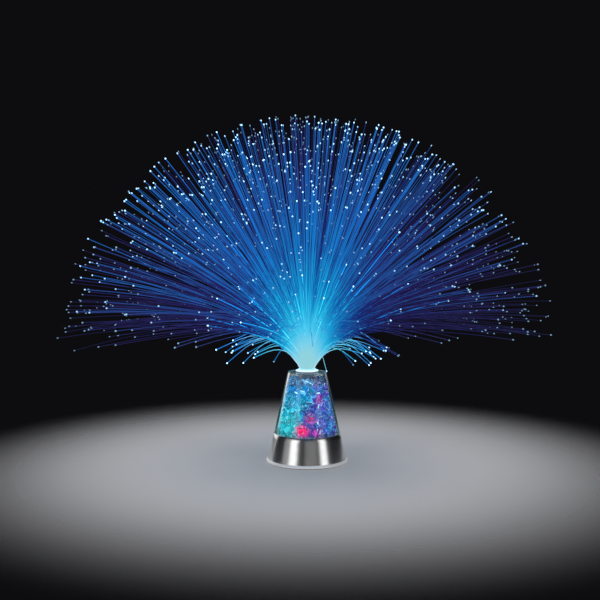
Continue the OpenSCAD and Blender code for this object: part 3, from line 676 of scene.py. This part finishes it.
def coneR(z):
    return stand["footRadius"] + (stand["topRadius"] - stand["footRadius"]) * z / stand["high"]


def coneIn(z):
    return coneR(z) - stand["clearThick"]


def steelFinish():
    material, tree, shader = newFinish("brightSteel", (0.8, 0.8, 0.805), 0.25, 1.0)
    lines = grainOf(tree, 60, 4.0, (0.5, 0.5, 60))  # fine turning lines run round the skirt
    cloud = grainOf(tree, 90, 3.0)
    colour = rampOf(tree, cloud, [(0.3, (0.76, 0.76, 0.77)), (0.7, (0.86, 0.86, 0.86))])
    height = axesOf(tree, placeOf(tree))["Z"]
    lip = spanOf(tree, height, 1, 0, *stand["lipHighlightFade"])  # the rolled lip is painted paler, less metallic and softer, a painted highlight along its edge
    feed(tree, shader, {
        "Base Color": mixOf(tree, lip, colour, (0.95, 0.95, 0.95, 1)),
        "Roughness": mixOf(tree, lip, spanOf(tree, lines, 0.2, 0.26), 0.5, "FLOAT"),
        "Metallic": spanOf(tree, lip, 1, 0.35, 0, 1),
    })
    dent(tree, shader, lines, 0.02, 0.00003)
    return material


def clearFinish():
    material, tree, shader = newFinish("clearAcrylic", (0.965, 0.985, 0.98), 0.02)
    scuff = grainOf(tree, 900, 5.0, (1, 1, 0.25))
    slant = addNode(tree, "LayerWeight", {"Blend": 0.3}).outputs["Facing"]
    feed(tree, shader, {
        "Transmission Weight": 1.0,
        "IOR": 1.3,
        "Roughness": spanOf(tree, scuff, 0.01, 0.06, 0.55, 0.8),
        "Emission Color": (0.25, 0.58, 0.7, 1),  # light piped in the wall shows at its edges
        "Emission Strength": spanOf(tree, slant, 0.01, 0.13, 0.35, 0.95, "SMOOTHSTEP"),
    })
    dent(tree, shader, grainOf(tree, 70, 2.0), 0.03, 0.0004)
    return material


def collarFinish():
    material, tree, shader = newFinish("frostedCollar", (0.86, 0.93, 0.95), 0.35)
    rise = spanOf(tree, axesOf(tree, placeOf(tree))["Z"], 0, 1, *stand["collarLight"])
    cloud = grainOf(tree, 300, 3.0)
    feed(tree, shader, {
        "Base Color": rampOf(tree, rise, [
            (0.3, (0.2, 0.21, 0.28)), (0.52, (0.3, 0.33, 0.4)), (0.6, (0.85, 0.93, 0.95)),
            (0.9, (0.4, 0.7, 0.76)),
        ]),
        "Emission Color": rampOf(tree, rise, [
            (0.3, (0.02, 0.02, 0.035)), (0.52, (0.06, 0.07, 0.1)), (0.6, (0.66, 0.9, 0.93)),
            (0.68, (0.66, 0.9, 0.93)), (0.72, (0.18, 0.46, 0.52)), (1.0, (0.3, 0.62, 0.66)),
        ]),
        "Roughness": spanOf(tree, cloud, 0.28, 0.45),
        "Emission Strength": spanOf(tree, cloud, 0.7, 0.9),
    })
    return material


def turnSkirt():
    top = stand["skirtTop"]
    outer = [(coneR(z), z) for z in stand["skirtOuter"]]
    inner = [(coneR(z) - stand["steelThick"], z) for z in stand["skirtInner"]]
    edge = [(coneR(top) - inset, top) for inset in stand["skirtEdge"]]
    return turnRing("steelSkirt", outer + stand["lip"] + inner + edge, 160, 40)


def turnCone():
    low, mid, high, c = stand["spigotLow"], stand["coneMiddle"], stand["high"], stand["coneChamfer"]
    seam = stand["skirtTop"] + stand["seamGap"]
    lined = stand["steelThick"] + stand["spigotGap"]
    points = [
        (coneIn(low), low), (coneR(low) - lined, low), (coneR(seam) - lined, seam), (coneR(seam) - c, seam),
        (coneR(seam + c), seam + c), (coneR(mid), mid), (coneR(high - c), high - c), (coneR(high) - c, high),
        (coneIn(high) + c, high), (coneIn(high - c), high - c), (coneIn(mid), mid),
    ]
    return turnRing("clearCone", points, 160, 25)


def turnPlate():
    high, c, gap = stand["high"], stand["plateChamfer"], stand["plateGap"]
    low, hole = high - stand["plateThick"], stand["socket"][0] + gap
    wide = [coneIn(z) - gap for z in (low, high)]
    points = [(hole, low), (wide[0] - c, low), (wide[0], low + c), (wide[1], high - c), (wide[1] - c, high),
              (hole + c, high), (hole, high - c)]
    return turnRing("clearPlate", points, 128, 25)


def roundedRim(wide, bore, top, c):  # from a rim's outside, over its top, to the bore
    return [(wide, top - c), (wide - c * 0.3, top - c * 0.3), (wide - c, top), (bore + c / 2, top)]


def turnCollar():
    wide, thick = stand["flange"]
    out, bore, low, ledge, throat = stand["socket"]
    seat, top, c = stand["high"], stand["high"] + thick, stand["collarChamfer"]
    points = [(bore, top - c / 2), (bore, ledge), (throat, ledge), (throat, low), (out, low), (out, seat),
              (wide - c / 2, seat), (wide, seat + c / 2)]
    return turnRing("paleCollar", points + roundedRim(wide, bore, top, c), 96, 35)


def turnPlug():
    wide, low, top = stand["rim"]
    out, bore, foot = stand["plug"]
    c = stand["plugChamfer"]
    points = [(bore, foot), (out - c, foot), (out, foot + c), (out, low), (wide - c / 2, low),
              (wide, low + c / 2)]
    return turnRing("sprayPlug", points + roundedRim(wide, bore, top, c) + [(bore, top - c / 2)], 96, 35)


brightSteel, clearAcrylic, frostedCollar = steelFinish(), clearFinish(), collarFinish()
for turned, finish, body, slot, node in (
    (turnSkirt(), brightSteel, "base", "bright_steel", "skirt"),
    (turnCone(), clearAcrylic, "base", "clear_acrylic", "cone_shell"),
    (turnPlate(), clearAcrylic, "base", "clear_acrylic", "top_plate"),
    (turnCollar(), frostedCollar, "base", "frosted_collar", "socket_collar"),
    (turnPlug(), frostedCollar, "spray", "frosted_collar", "spray_ferrule"),
):
    paint(finish, turned)
    standFor(turned, body, slot, node)
paint(clearAcrylic, nodes["cone_floor"], nodes["light_guide"])
print("stand turned")


# crystals: four shards are modelled, then strewn in two beds against the cone's wall

crystalBed = {
    "low": 0.0277,
    "high": 0.0828,
    "over": 0.001,
    "step": 0.0034,
    "apart": 0.0038,
    "beds": ((0.0019, 0.9), (0.0052, 0.5)),  # depth from the wall, brightness
    "jitter": (0.0008, 0.002),
    "thick": (0.002, 0.0042),
    "long": (0.0042, 0.009),
    "wallGap": 0.0003,
    # sides, the top's size and slide, chamfer
    "shards": (
        (5, (0.5, 0.8, 1), (0.12, 0, 0), 0.05), (4, (0.7, 0.35, 1), (0, 0.2, 0), 0.06),
        (6, (0.75, 0.55, 1), (0.15, 0.1, 0), 0.045), (3, (0.6, 0.6, 1), (-0.1, 0.1, 0), 0.07),
    ),
    "flatArea": 0.12,
    "seed": 11,
}

# turns are in degrees to the right of the front
crystalLight = {
    "front": (-125, 115),
    "splitTurn": (-16, 20),  # teal to the left of it and blue to the right, low down and high up
    "splitRise": (0.052, 0.066),
    "splitBlur": 16,
    "rearWaves": (3, 40),  # teal and blue take turns at the back
    "teal": ((0.003, 0.66, 0.74), (0.003, 0.36, 0.76)),  # low down and high up
    "tealRise": (0.045, 0.075),
    "violet": (0.09, 0.055, 0.5),
    "violetShare": 0.55,
    "blue": (0.05, 0.17, 0.6),
    "rightBlue": (0.03, 0.26, 0.6),
    "rightTurn": (45, 115),
    "dimFoot": (0.45, 0.028, 0.034),  # share low down, and heights between
    "grey": (0.16, 0.16, 0.2),
    "greyFrom": 0.076,
    "greyShare": 0.45,
    # little light at the top right: share, height, how far right, its scatter, how far back
    "dull": (0.3, 0.077, 0.008, 0.004, 0.012),
    "white": (0.55, 0.86, 1.0),
    "spark": (1.4, 0.75),  # strength and share of white
    "sparkChance": (0.02, 0.07),  # of a flat facet and of a narrow one
    "flatGlint": (0.16, 0.9),
    "edgeGlint": (0.2, 0.3),
    "edgeFlash": (0.3, 1.3, 0.22),  # chance, strength, share of white
    "spotGlint": 0.5,
    "spotDeep": 0.002,
    "spotHard": 1.7,
    # turn, height, reach, colour
    "spots": [
        (-11, 0.0345, 0.0084, (0.9, 0.01, 0.2)), (8, 0.0455, 0.0066, (0.62, 0.06, 0.38)),
        (32, 0.0635, 0.006, (0.5, 0.04, 0.42)), (17, 0.0326, 0.0056, (0.5, 0.03, 0.42)),
        (172, 0.038, 0.006, (0.95, 0.03, 0.22)), (-150, 0.058, 0.006, (0.6, 0.06, 0.5)),
        (118, 0.036, 0.005, (0.7, 0.1, 0.4)), (92, 0.062, 0.006, (0.1, 0.55, 0.8)),
        (-112, 0.045, 0.006, (0.05, 0.55, 0.25)),
    ],
}


def modelShards():
    shards = []
    for sides, top, slide, cut in crystalBed["shards"]:
        clearSelection()
        bpy.ops.mesh.primitive_cylinder_add(vertices=sides, radius=0.55, depth=1.0)
        shard = bpy.context.object
        selectWhere(shard, "vertices", lambda v: v.co.z > 0)
        bpy.ops.transform.resize(value=top, center_override=(0, 0, 0.5))
        bpy.ops.transform.translate(value=slide)
        bpy.ops.mesh.select_all(action="SELECT")
        bpy.ops.mesh.bevel(offset=cut, segments=1, affect="EDGES")
        faceOut()
        shards.append(shard)
    return shards


def mixGlow(a, b, part):
    return np.array(a) * (1 - part) + np.array(b) * part


def shardGlow(at, luck):  # the facets' painted light colours, from the LEDs by their places, and how near each is to a spot
    light = crystalLight
    x, y, z = at.T
    turn = np.degrees(np.arctan2(x, -y))
    low, high = light["splitTurn"]
    split = low + (high - low) * share(z, *light["splitRise"]) + light["splitBlur"] * (luck[0] - 0.5)
    waves, begin = light["rearWaves"]
    rear = 0.5 + 0.5 * np.sin(np.radians(waves * turn + begin)) + 0.5 * (luck[1] - 0.5)
    seen = (turn > light["front"][0]) & (turn < light["front"][1])
    cool = np.clip(np.where(seen, (turn - split) / light["splitBlur"] + 0.5, rear), 0, 1)
    teal = mixGlow(*light["teal"], share(z, *light["tealRise"])[:, None]) * (0.7 + 0.5 * luck[2])
    blue = light["violet"] if luck[3] < light["violetShare"] else light["blue"]
    right = (turn > light["rightTurn"][0]) & (turn < light["rightTurn"][1]) & (luck[1] < 0.5)
    blue = np.where(right[:, None], light["rightBlue"], blue) * (0.8 + 0.4 * luck[4])
    glowColour = mixGlow(teal, blue, cool[:, None])
    least, *foot = light["dimFoot"]
    glowColour = glowColour * (least + (1 - least) * share(z, *foot))[:, None]
    hot = 0 * z
    for spotTurn, up, far, colour in light["spots"]:
        a, r = math.radians(spotTurn), coneIn(up) - light["spotDeep"]
        away = np.linalg.norm(at - np.array([r * math.sin(a), -r * math.cos(a), up]), axis=1)
        near = np.clip(light["spotHard"] * (1 - away / far), 0, 1)
        glowColour = mixGlow(glowColour, colour, near[:, None])
        hot = np.maximum(hot, near)
    greyed = light["greyShare"] * (z > light["greyFrom"])  # greyer under the plate
    return mixGlow(glowColour, light["grey"], greyed[:, None]), hot


def bedPlaces(dice):  # rows of places round the wall, in both beds
    low, step = crystalBed["low"], crystalBed["step"]
    across, upright = crystalBed["jitter"]
    for row in range(int((crystalBed["high"] - low) / step)):
        z = low + (row + 0.5) * step
        for depth, bright in crystalBed["beds"]:
            ring = coneIn(z) - depth
            places = int(2 * math.pi * ring / crystalBed["apart"])
            for k in range(places):
                a = 2 * math.pi * (k + 0.5 * (row % 2) + 0.5 * dice.rand()) / places
                r = ring + across * (dice.rand() - 0.5)
                h = z + upright * (dice.rand() - 0.5)
                yield np.array([r * math.cos(a), r * math.sin(a), h]), bright


def shapeShard(dice, co, at):  # of chance size and turn, and lying against the wall
    thick = dice.uniform(*crystalBed["thick"], 2)
    size = np.array([*thick, dice.uniform(*crystalBed["long"])])
    turn, _ = np.linalg.qr(dice.normal(size=(3, 3)))
    turn *= np.sign(np.linalg.det(turn))
    body = (co * size) @ turn.T + at
    low, high = crystalBed["low"] + 0.0001 * dice.rand(), crystalBed["high"] + crystalBed["over"]
    body[:, 2] = np.clip(body[:, 2], low, high)
    most = coneIn(body[:, 2]) - crystalBed["wallGap"] - 0.0003 * dice.rand()
    body[:, :2] *= np.minimum(1, most / np.hypot(body[:, 0], body[:, 1]))[:, None]
    return body


def lightFacet(dice, glowColour, hot, flat):  # a few facets glint, most of them narrow ones
    light = crystalLight
    chance, flash, pale = light["edgeFlash"]
    spark = dice.rand() < light["sparkChance"][0 if flat else 1] * (1 - hot)
    if flat:
        glint = light["flatGlint"][0] + light["flatGlint"][1] * dice.rand() ** 2
    elif dice.rand() < chance:
        glint = flash
    else:
        glint = light["edgeGlint"][0] + light["edgeGlint"][1] * dice.rand()
    white = pale * (glint > 1) * (1 - hot)
    if spark:
        glint, white = light["spark"]
    return mixGlow(glowColour, light["white"], white), glint * (1 + light["spotGlint"] * hot)


def strewShards(shards):
    dice = np.random.RandomState(crystalBed["seed"])
    kinds = []
    for shard in shards:
        polys = shard.data.polygons
        kinds.append((np.array([v.co for v in shard.data.vertices]), [list(p.vertices) for p in polys],
                      [p.area > crystalBed["flatArea"] for p in polys]))
        bpy.data.objects.remove(shard)
    points, faces, glowColours, glints = [], [], [], []
    first = 0
    dim, high, aside, more, back = crystalLight["dull"]
    for at, bright in bedPlaces(dice):
        dull = at[2] > high and at[0] > aside + more * dice.rand() and at[1] < back
        co, polys, flats = kinds[dice.randint(len(kinds))]
        body = shapeShard(dice, co, at)
        bright *= dice.uniform(0.7, 1.2) * (dim if dull else 1)
        facetGlows, hots = shardGlow(np.array([body[poly].mean(0) for poly in polys]), dice.rand(5))
        for poly, flat, glowColour, hot in zip(polys, flats, facetGlows, hots):
            faces.append([v + first for v in poly])
            glowColour, glint = lightFacet(dice, glowColour, hot, flat)
            glowColours.append([*glowColour, 1])
            glints.append(bright * glint)
        points.append(body)
        first += len(body)
    mesh = bpy.data.meshes.new("crystalShards")
    mesh.from_pydata(np.concatenate(points).tolist(), [], faces)
    # each facet's painted light colour, LED light and white glints
    glowLayer = mesh.attributes.new("glowColour", "FLOAT_COLOR", "FACE")
    glowLayer.data.foreach_set("color", np.array(glowColours, np.float32).ravel())
    glintLayer = mesh.attributes.new("glint", "FLOAT", "FACE")
    glintLayer.data.foreach_set("value", np.array(glints, np.float32))
    print("crystals strewn:", len(points))
    return linkNew("crystalShards", mesh)


def crystalFinish():
    material, tree, shader = newFinish("litCrystal", (0.2, 0.4, 0.5), 0.08)
    glowColour = attributeOf(tree, "glowColour", "Color")
    grain = grainOf(tree, 500, 3.0)
    # painted light: the LEDs' coloured light and the white glints are painted into the base colour as well as
    # the emission of the clear shards
    feed(tree, shader, {
        "Base Color": glowColour,
        "Emission Color": glowColour,
        "Emission Strength": attributeOf(tree, "glint"),
        "Roughness": spanOf(tree, grain, 0.04, 0.2),
    })
    dent(tree, shader, grain, 0.1, 0.0002)
    return material


crystalShards = strewShards(modelShards())
paint(crystalFinish(), crystalShards)
standFor(crystalShards, "base", "crystal", "crystals")


# base: foot ring, screws, switch knob, door ribs, cells, springs and leads

base = {
    "footRing": (0.03323, 0.03683, 0.002),  # inner and outer radius, height
    "footRound": 0.0003,
    "grooves": (0.3, 0.5, 0.7),  # shares of the ring's width
    "groove": (0.0002, 0.00035),  # half width, depth
    "coverLow": 0.0012,
    "screwPlaces": (0.015, 0.02335),
    "screwHead": (0.0025, 0.0012, 0.00035),  # radius, height, rounding
    "shank": (0.0013, 0.008),  # radius, length
    "threads": 9,
    "recess": (0.003, 0.0007, 0.0014),  # arm, width, depth
    "knob": (-0.0015, 0.02335, 0.003, 0.0024, 0.0009, 0.0044),  # place, length, width, foot, top
    "knobRidges": 4,
    "knobRidge": (0.0004, 0.86, 0.0003, 0.23),  # thick, share of the width, height, pitch as a share
    "slider": (0.005, 0.0036, 0.00352, 0.0054),  # length, width, foot, top
    "ribs": 6,
    "ribFrom": -0.0215,
    "ribStep": 0.0013,
    "rib": (0.0006, 0.010, 0.0004),  # length, width, height
    "cellPitch": 0.0109,
    "cellHigh": 0.00905,
    "cell": (0.00525, 0.0435, -0.02),  # radius, length, where it begins
    "cellRound": 0.0005,
    "cellBands": (0.0075, 0.03),
    "nub": (0.0019, 0.001),  # radius, height
    "spring": (0.0032, 0.0024, -0.0237, -0.021, 3),  # radius at both ends, begin, end, turns
    "springEnds": (-0.0247, -0.02),
    "springSteps": 24,
    "springWire": 0.00025,
    "leadThick": 0.0006,
    # each lead along the points of its route, in millimetres
    "redSwitch": [
        (24.9, 12.4, 17.1), (24.9, 14.4, 17.1), (24.3, 17.275, 17.0), (21.9, 18.85, 16.5),
        (17.9, 19.15, 14.85), (15.0, 19.15, 13.35), (9.0, 19.55, 11.4), (4.0, 21.85, 11.4),
        (3.0, 23.35, 10.6), (3.0, 23.35, 9.6),
    ],
    "redBoard": [(-3.0, 23.35, z) for z in (9.6, 11.6, 17.1, 20.3, 21.3)],
    "blackLead": [(-24.9, -10.9, z) for z in (17.5, 19.4, 21.3)],
}


def boxPiece(name, size, at, edge):  # a block with rounded edges
    clearSelection()
    bpy.ops.mesh.primitive_cube_add(size=1, location=at)
    obj = bpy.context.object
    obj.name = name
    obj.scale = size
    settle(obj)
    bpy.ops.object.mode_set(mode="EDIT")
    bpy.ops.mesh.select_all(action="SELECT")
    bpy.ops.mesh.bevel(offset=edge, segments=2, affect="EDGES")
    bpy.ops.object.mode_set(mode="OBJECT")
    smooth(obj, 40)
    return obj


def cutAway(obj, cutter):
    cut = obj.modifiers.new("cut", "BOOLEAN")
    cut.operation = "DIFFERENCE"
    cut.object = cutter
    pick(obj)
    bpy.ops.object.modifier_apply(modifier=cut.name)
    bpy.data.objects.remove(cutter)


def repeatPiece(one, name, places):  # copies at places and turns, as one piece
    copies = [copyOf(one, at, turn) for at, turn in places]
    bpy.data.objects.remove(one)
    return joinAll(copies, name)


def tubePiece(name, points, half):  # a round wire along points
    path = bpy.data.curves.new(name, "CURVE")
    path.dimensions = "3D"
    path.bevel_depth = half
    path.bevel_resolution = 3
    path.use_fill_caps = True
    line = path.splines.new("NURBS")
    line.points.add(len(points) - 1)
    for p, co in zip(line.points, points):
        p.co = (*co, 1)
    line.use_endpoint_u = True
    line.order_u = 3
    line.resolution_u = 6
    pick(linkNew(name, path))
    bpy.ops.object.convert(target="MESH")
    wire = bpy.context.object
    smooth(wire, 60)
    return wire


def turnFoot():
    inner, outer, top = base["footRing"]
    half, deep = base["groove"]
    c = base["footRound"]
    points = [(inner, top), (inner, c), (inner + c, 0)]
    for part in base["grooves"]:
        r = inner + part * (outer - inner)
        points += [(r - half, 0), (r - half / 2, deep), (r + half / 2, deep), (r + half, 0)]
    points += [(outer - c, 0), (outer, c), (outer, top)]
    return turnRing("softFoot", points, 128, 30)


def modelScrews():
    low, (wide, thick, c), (half, long) = base["coverLow"], base["screwHead"], base["shank"]
    seat = low + thick
    points = [(0, low), (wide - 2 * c, low), (wide - c * 0.5, low + c * 0.4), (wide, low + c * 1.3),
              (wide, seat), (half, seat)]
    for k in range(base["threads"]):
        z = seat + (k + 0.6) * long / (base["threads"] + 1)
        points += [(half * 0.75, z), (half, z + 0.0004)]
    points += [(half * 0.7, seat + long - 0.0005), (0, seat + long)]
    screw = turnProfile("coverScrews", points, 40, 35)
    arm, narrow, deep = base["recess"]
    for size in ((arm, narrow, deep), (narrow, arm, deep)):  # cross recess
        cutAway(screw, boxPiece("recess", size, (0, 0, low), 0.0001))
    x, y = base["screwPlaces"]
    places = [((i * x, j * y, 0), (0, 0, 0)) for i in (-1, 1) for j in (-1, 1)]
    return repeatPiece(screw, "coverScrews", places)


def modelSlider():
    x, y, long, wide, low, top = base["knob"]
    thick, part, ridge, pitch = base["knobRidge"]
    parts = [boxPiece("knob", (long, wide, top - low - ridge), (x, y, (top + low + ridge) / 2), 0.00025)]
    plateLong, plateWide, plateLow, plateTop = base["slider"]
    size = (plateLong, plateWide, plateTop - plateLow)
    parts.append(boxPiece("plate", size, (x, y, (plateTop + plateLow) / 2), 0.0002))
    for k in range(base["knobRidges"]):
        at = x + (k - (base["knobRidges"] - 1) / 2) * long * pitch
        parts.append(boxPiece("ridge", (thick, wide * part, 2 * ridge), (at, y, low + ridge), 0.00012))
    return joinAll(parts, "switchKnob")


def modelRibs():
    long, wide, high = base["rib"]
    rib = boxPiece("rib", (long, wide, 2 * high), (0, 0, base["coverLow"]), 0.00018)
    places = [((base["ribFrom"] + k * base["ribStep"], 0, 0), (0, 0, 0)) for k in range(base["ribs"])]
    return repeatPiece(rib, "doorRibs", places)


def modelCells():
    r, long, back = base["cell"]
    nub, out = base["nub"]
    c = base["cellRound"]
    points = [(0, 0.0001), (r * 0.62, 0.0001), (r * 0.66, 0.0004), (r * 0.9, 0.0004), (r - c, 0)]
    points += [(r - c * 0.3, c * 0.3), (r, c)]
    points += [(r, z) for z in base["cellBands"]]
    points += [(r, long - c), (r - c * 0.3, long - c * 0.3), (r - c, long), (r * 0.8, long - 0.0002)]
    points += [(nub + c, long - 0.0002), (nub, long), (nub, long + out - c / 2), (nub - c / 2, long + out)]
    cell = turnProfile("cell", points + [(0, long + out)], 64, 30)
    cell.data.materials.append(finishes["cellWrap"])
    cell.data.materials.append(finishes["nickelSteel"])
    for p in cell.data.polygons:
        x, y, z = p.center
        bare = z < 0.0003 or z > long - 0.00025 or math.hypot(x, y) < r * 0.85
        p.material_index = 1 if bare else 0
    along = cell.data.attributes.new("along", "FLOAT", "POINT")
    along.data.foreach_set("value", [v.co.z / long for v in cell.data.vertices])
    places = []
    for k, way in ((-1, 1), (0, -1), (1, 1)):  # the middle cell lies the other way
        at = (back * way, k * base["cellPitch"], base["cellHigh"])
        places.append((at, (0, math.radians(90 * way), 0)))
    return repeatPiece(cell, "batteryCells", places)


def modelSprings():
    wide, narrow, begin, end, turns = base["spring"]
    first, last = base["springEnds"]
    wire, steps = base["springWire"], base["springSteps"] * turns

    def ringAt(x, r, a):
        return (x, r * math.cos(a), r * math.sin(a))

    flat = [ringAt(first + wire, wide, a) for a in np.linspace(-math.pi * 1.5, -0.4, 18)]
    coil = []
    for k in range(steps + 1):
        s = k / steps
        coil.append(ringAt(begin + (end - begin) * s, wide + (narrow - wide) * s, 2 * math.pi * turns * s))
    close = [ringAt(last - wire, narrow, a) for a in np.linspace(0.4, math.pi * 1.5, 18)]
    places = []
    for k, turn in ((-1, 0), (0, math.pi), (1, 0)):
        places.append(((0, k * base["cellPitch"], base["cellHigh"]), (0, 0, turn)))
    return repeatPiece(tubePiece("spring", flat + coil + close, wire), "batterySprings", places)


def modelLead(name):
    return tubePiece(name, [[v / 1000 for v in p] for p in base[name]], base["leadThick"])


def wrapFinish():
    material, tree, shader = newFinish("cellWrap", (0.02, 0.12, 0.06), 0.3, 0.6)
    bands = rampOf(tree, attributeOf(tree, "along"), [
        (0.0, (0.55, 0.54, 0.5)), (0.025, (0.02, 0.12, 0.06)), (0.66, (0.02, 0.13, 0.065)),
        (0.665, (0.7, 0.66, 0.5)), (0.69, (0.7, 0.66, 0.5)), (0.695, (0.5, 0.28, 0.12)),
        (0.96, (0.52, 0.3, 0.13)), (0.975, (0.6, 0.58, 0.52)),
    ])
    scuff = grainOf(tree, 400, 4.0, (1, 3, 3))
    feed(tree, shader, {"Base Color": bands, "Roughness": spanOf(tree, scuff, 0.22, 0.42)})
    dent(tree, shader, scuff, 0.04, 0.0001)
    return material


def boardFinish():
    material, tree, shader = newFinish("boardGreen", (0.015, 0.12, 0.04), 0.35)
    cells = {"Vector": placeOf(tree), "Scale": 260}
    tracks = addNode(tree, "TexVoronoi", cells, feature="DISTANCE_TO_EDGE").outputs["Distance"]
    weave = grainOf(tree, 900, 3.0)
    feed(tree, shader, {
        "Base Color": rampOf(tree, tracks, [(0.04, (0.03, 0.22, 0.07)), (0.07, (0.012, 0.1, 0.035))]),
        "Roughness": spanOf(tree, weave, 0.3, 0.45),
    })
    dent(tree, shader, tracks, 0.2, 0.0001)
    return material


def endsFinish():
    material, tree, shader = newFinish("fibreEnds", (0.5, 0.8, 0.85), 0.2)
    ends = addNode(tree, "TexVoronoi", {"Vector": placeOf(tree), "Scale": 1500}).outputs["Distance"]
    colour = rampOf(tree, ends, [(0.3, (0.7, 0.95, 1.0)), (0.55, (0.12, 0.2, 0.24))])
    feed(tree, shader, {"Base Color": colour, "Emission Color": colour, "Emission Strength": 0.5})
    dent(tree, shader, ends, 0.1, 0.0001)
    return material


def lensFinish():
    material, tree, shader = grainedFinish("ledLens", (0.75, 0.78, 0.75), (0.9, 0.92, 0.9), (0.15, 0.3), 800)
    feed(tree, shader, {"Emission Color": (0.45, 0.75, 1.0, 1), "Emission Strength": 0.8})
    return material


# dark and light colour, roughness, grain, metallic and bump where they aren't the usual ones
grained = {
    "blackPlastic": ((0.012, 0.012, 0.013), (0.028, 0.028, 0.03), (0.42, 0.6), 1400, 0.0, 0.3),
    "whitePlastic": ((0.74, 0.74, 0.72), (0.82, 0.82, 0.8), (0.35, 0.5), 700),
    "ivoryPlastic": ((0.7, 0.67, 0.56), (0.8, 0.77, 0.66), (0.35, 0.5), 700),
    "softFootRubber": ((0.02, 0.02, 0.021), (0.045, 0.045, 0.047), (0.7, 0.9), 1800, 0.0, 0.35),
    "screwSteel": ((0.5, 0.5, 0.52), (0.68, 0.68, 0.69), (0.2, 0.38), 900, 1.0),
    "nickelSteel": ((0.58, 0.55, 0.48), (0.74, 0.71, 0.64), (0.18, 0.34), 700, 1.0),
    "switchCase": ((0.36, 0.36, 0.35), (0.48, 0.48, 0.46), (0.4, 0.55), 800),
    "redWire": ((0.4, 0.01, 0.01), (0.55, 0.02, 0.02), (0.35, 0.5), 900),
    "blackWire": ((0.01, 0.01, 0.01), (0.022, 0.022, 0.022), (0.35, 0.5), 900),
    "chipBlack": ((0.016, 0.016, 0.018), (0.035, 0.035, 0.038), (0.45, 0.65), 1600),
}
finishes = {name: grainedFinish(name, *look)[0] for name, look in grained.items()}
finishes.update(cellWrap=wrapFinish(), boardGreen=boardFinish(), fibreEnds=endsFinish(), ledLens=lensFinish())

footRing, coverScrews, switchKnob, doorRibs = turnFoot(), modelScrews(), modelSlider(), modelRibs()
batteryCells, batterySprings = modelCells(), modelSprings()  # the cells have their two finishes already
redLeads = joinAll([modelLead("redSwitch"), modelLead("redBoard")], "redLeads")
blackLead = modelLead("blackLead")
for name, objs in {
    "softFootRubber": [footRing],
    "screwSteel": [coverScrews, nodes["switch_screws"], nodes["board_screws"]],
    "ivoryPlastic": [switchKnob],
    "nickelSteel": [batterySprings, nodes["contact_plates"]],
    "redWire": [redLeads],
    "blackWire": [blackLead],
    "blackPlastic": [doorRibs, nodes["base_cover"], nodes["battery_door"]],
    "whitePlastic": [nodes["base_housing"], nodes["reflector"]],
    "switchCase": [nodes["switch_body"]],
    "boardGreen": [nodes["led_board"]],
    "ledLens": [nodes["crystal_leds"], nodes["spray_led"]],
    "chipBlack": [nodes["control_chip"], nodes["resistors"]],
    "fibreEnds": [nodes["bundle_core"]],
}.items():
    paint(finishes[name], *objs)
standFor(footRing, "base", "soft_foot", "foot_ring")
standFor(coverScrews, "base", "screw_steel", "cover_screws")
standFor(switchKnob, "slider", "ivory_plastic", "switch_slider")
standFor(batteryCells, "base", "cell_wrap", "battery_cells")
standFor(batterySprings, "base", "spring_steel", "battery_springs")
standFor(redLeads, "base", "red_wire", "red_leads")
standFor(blackLead, "base", "black_wire", "black_lead")
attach(doorRibs, "door")
print("base fitted out")
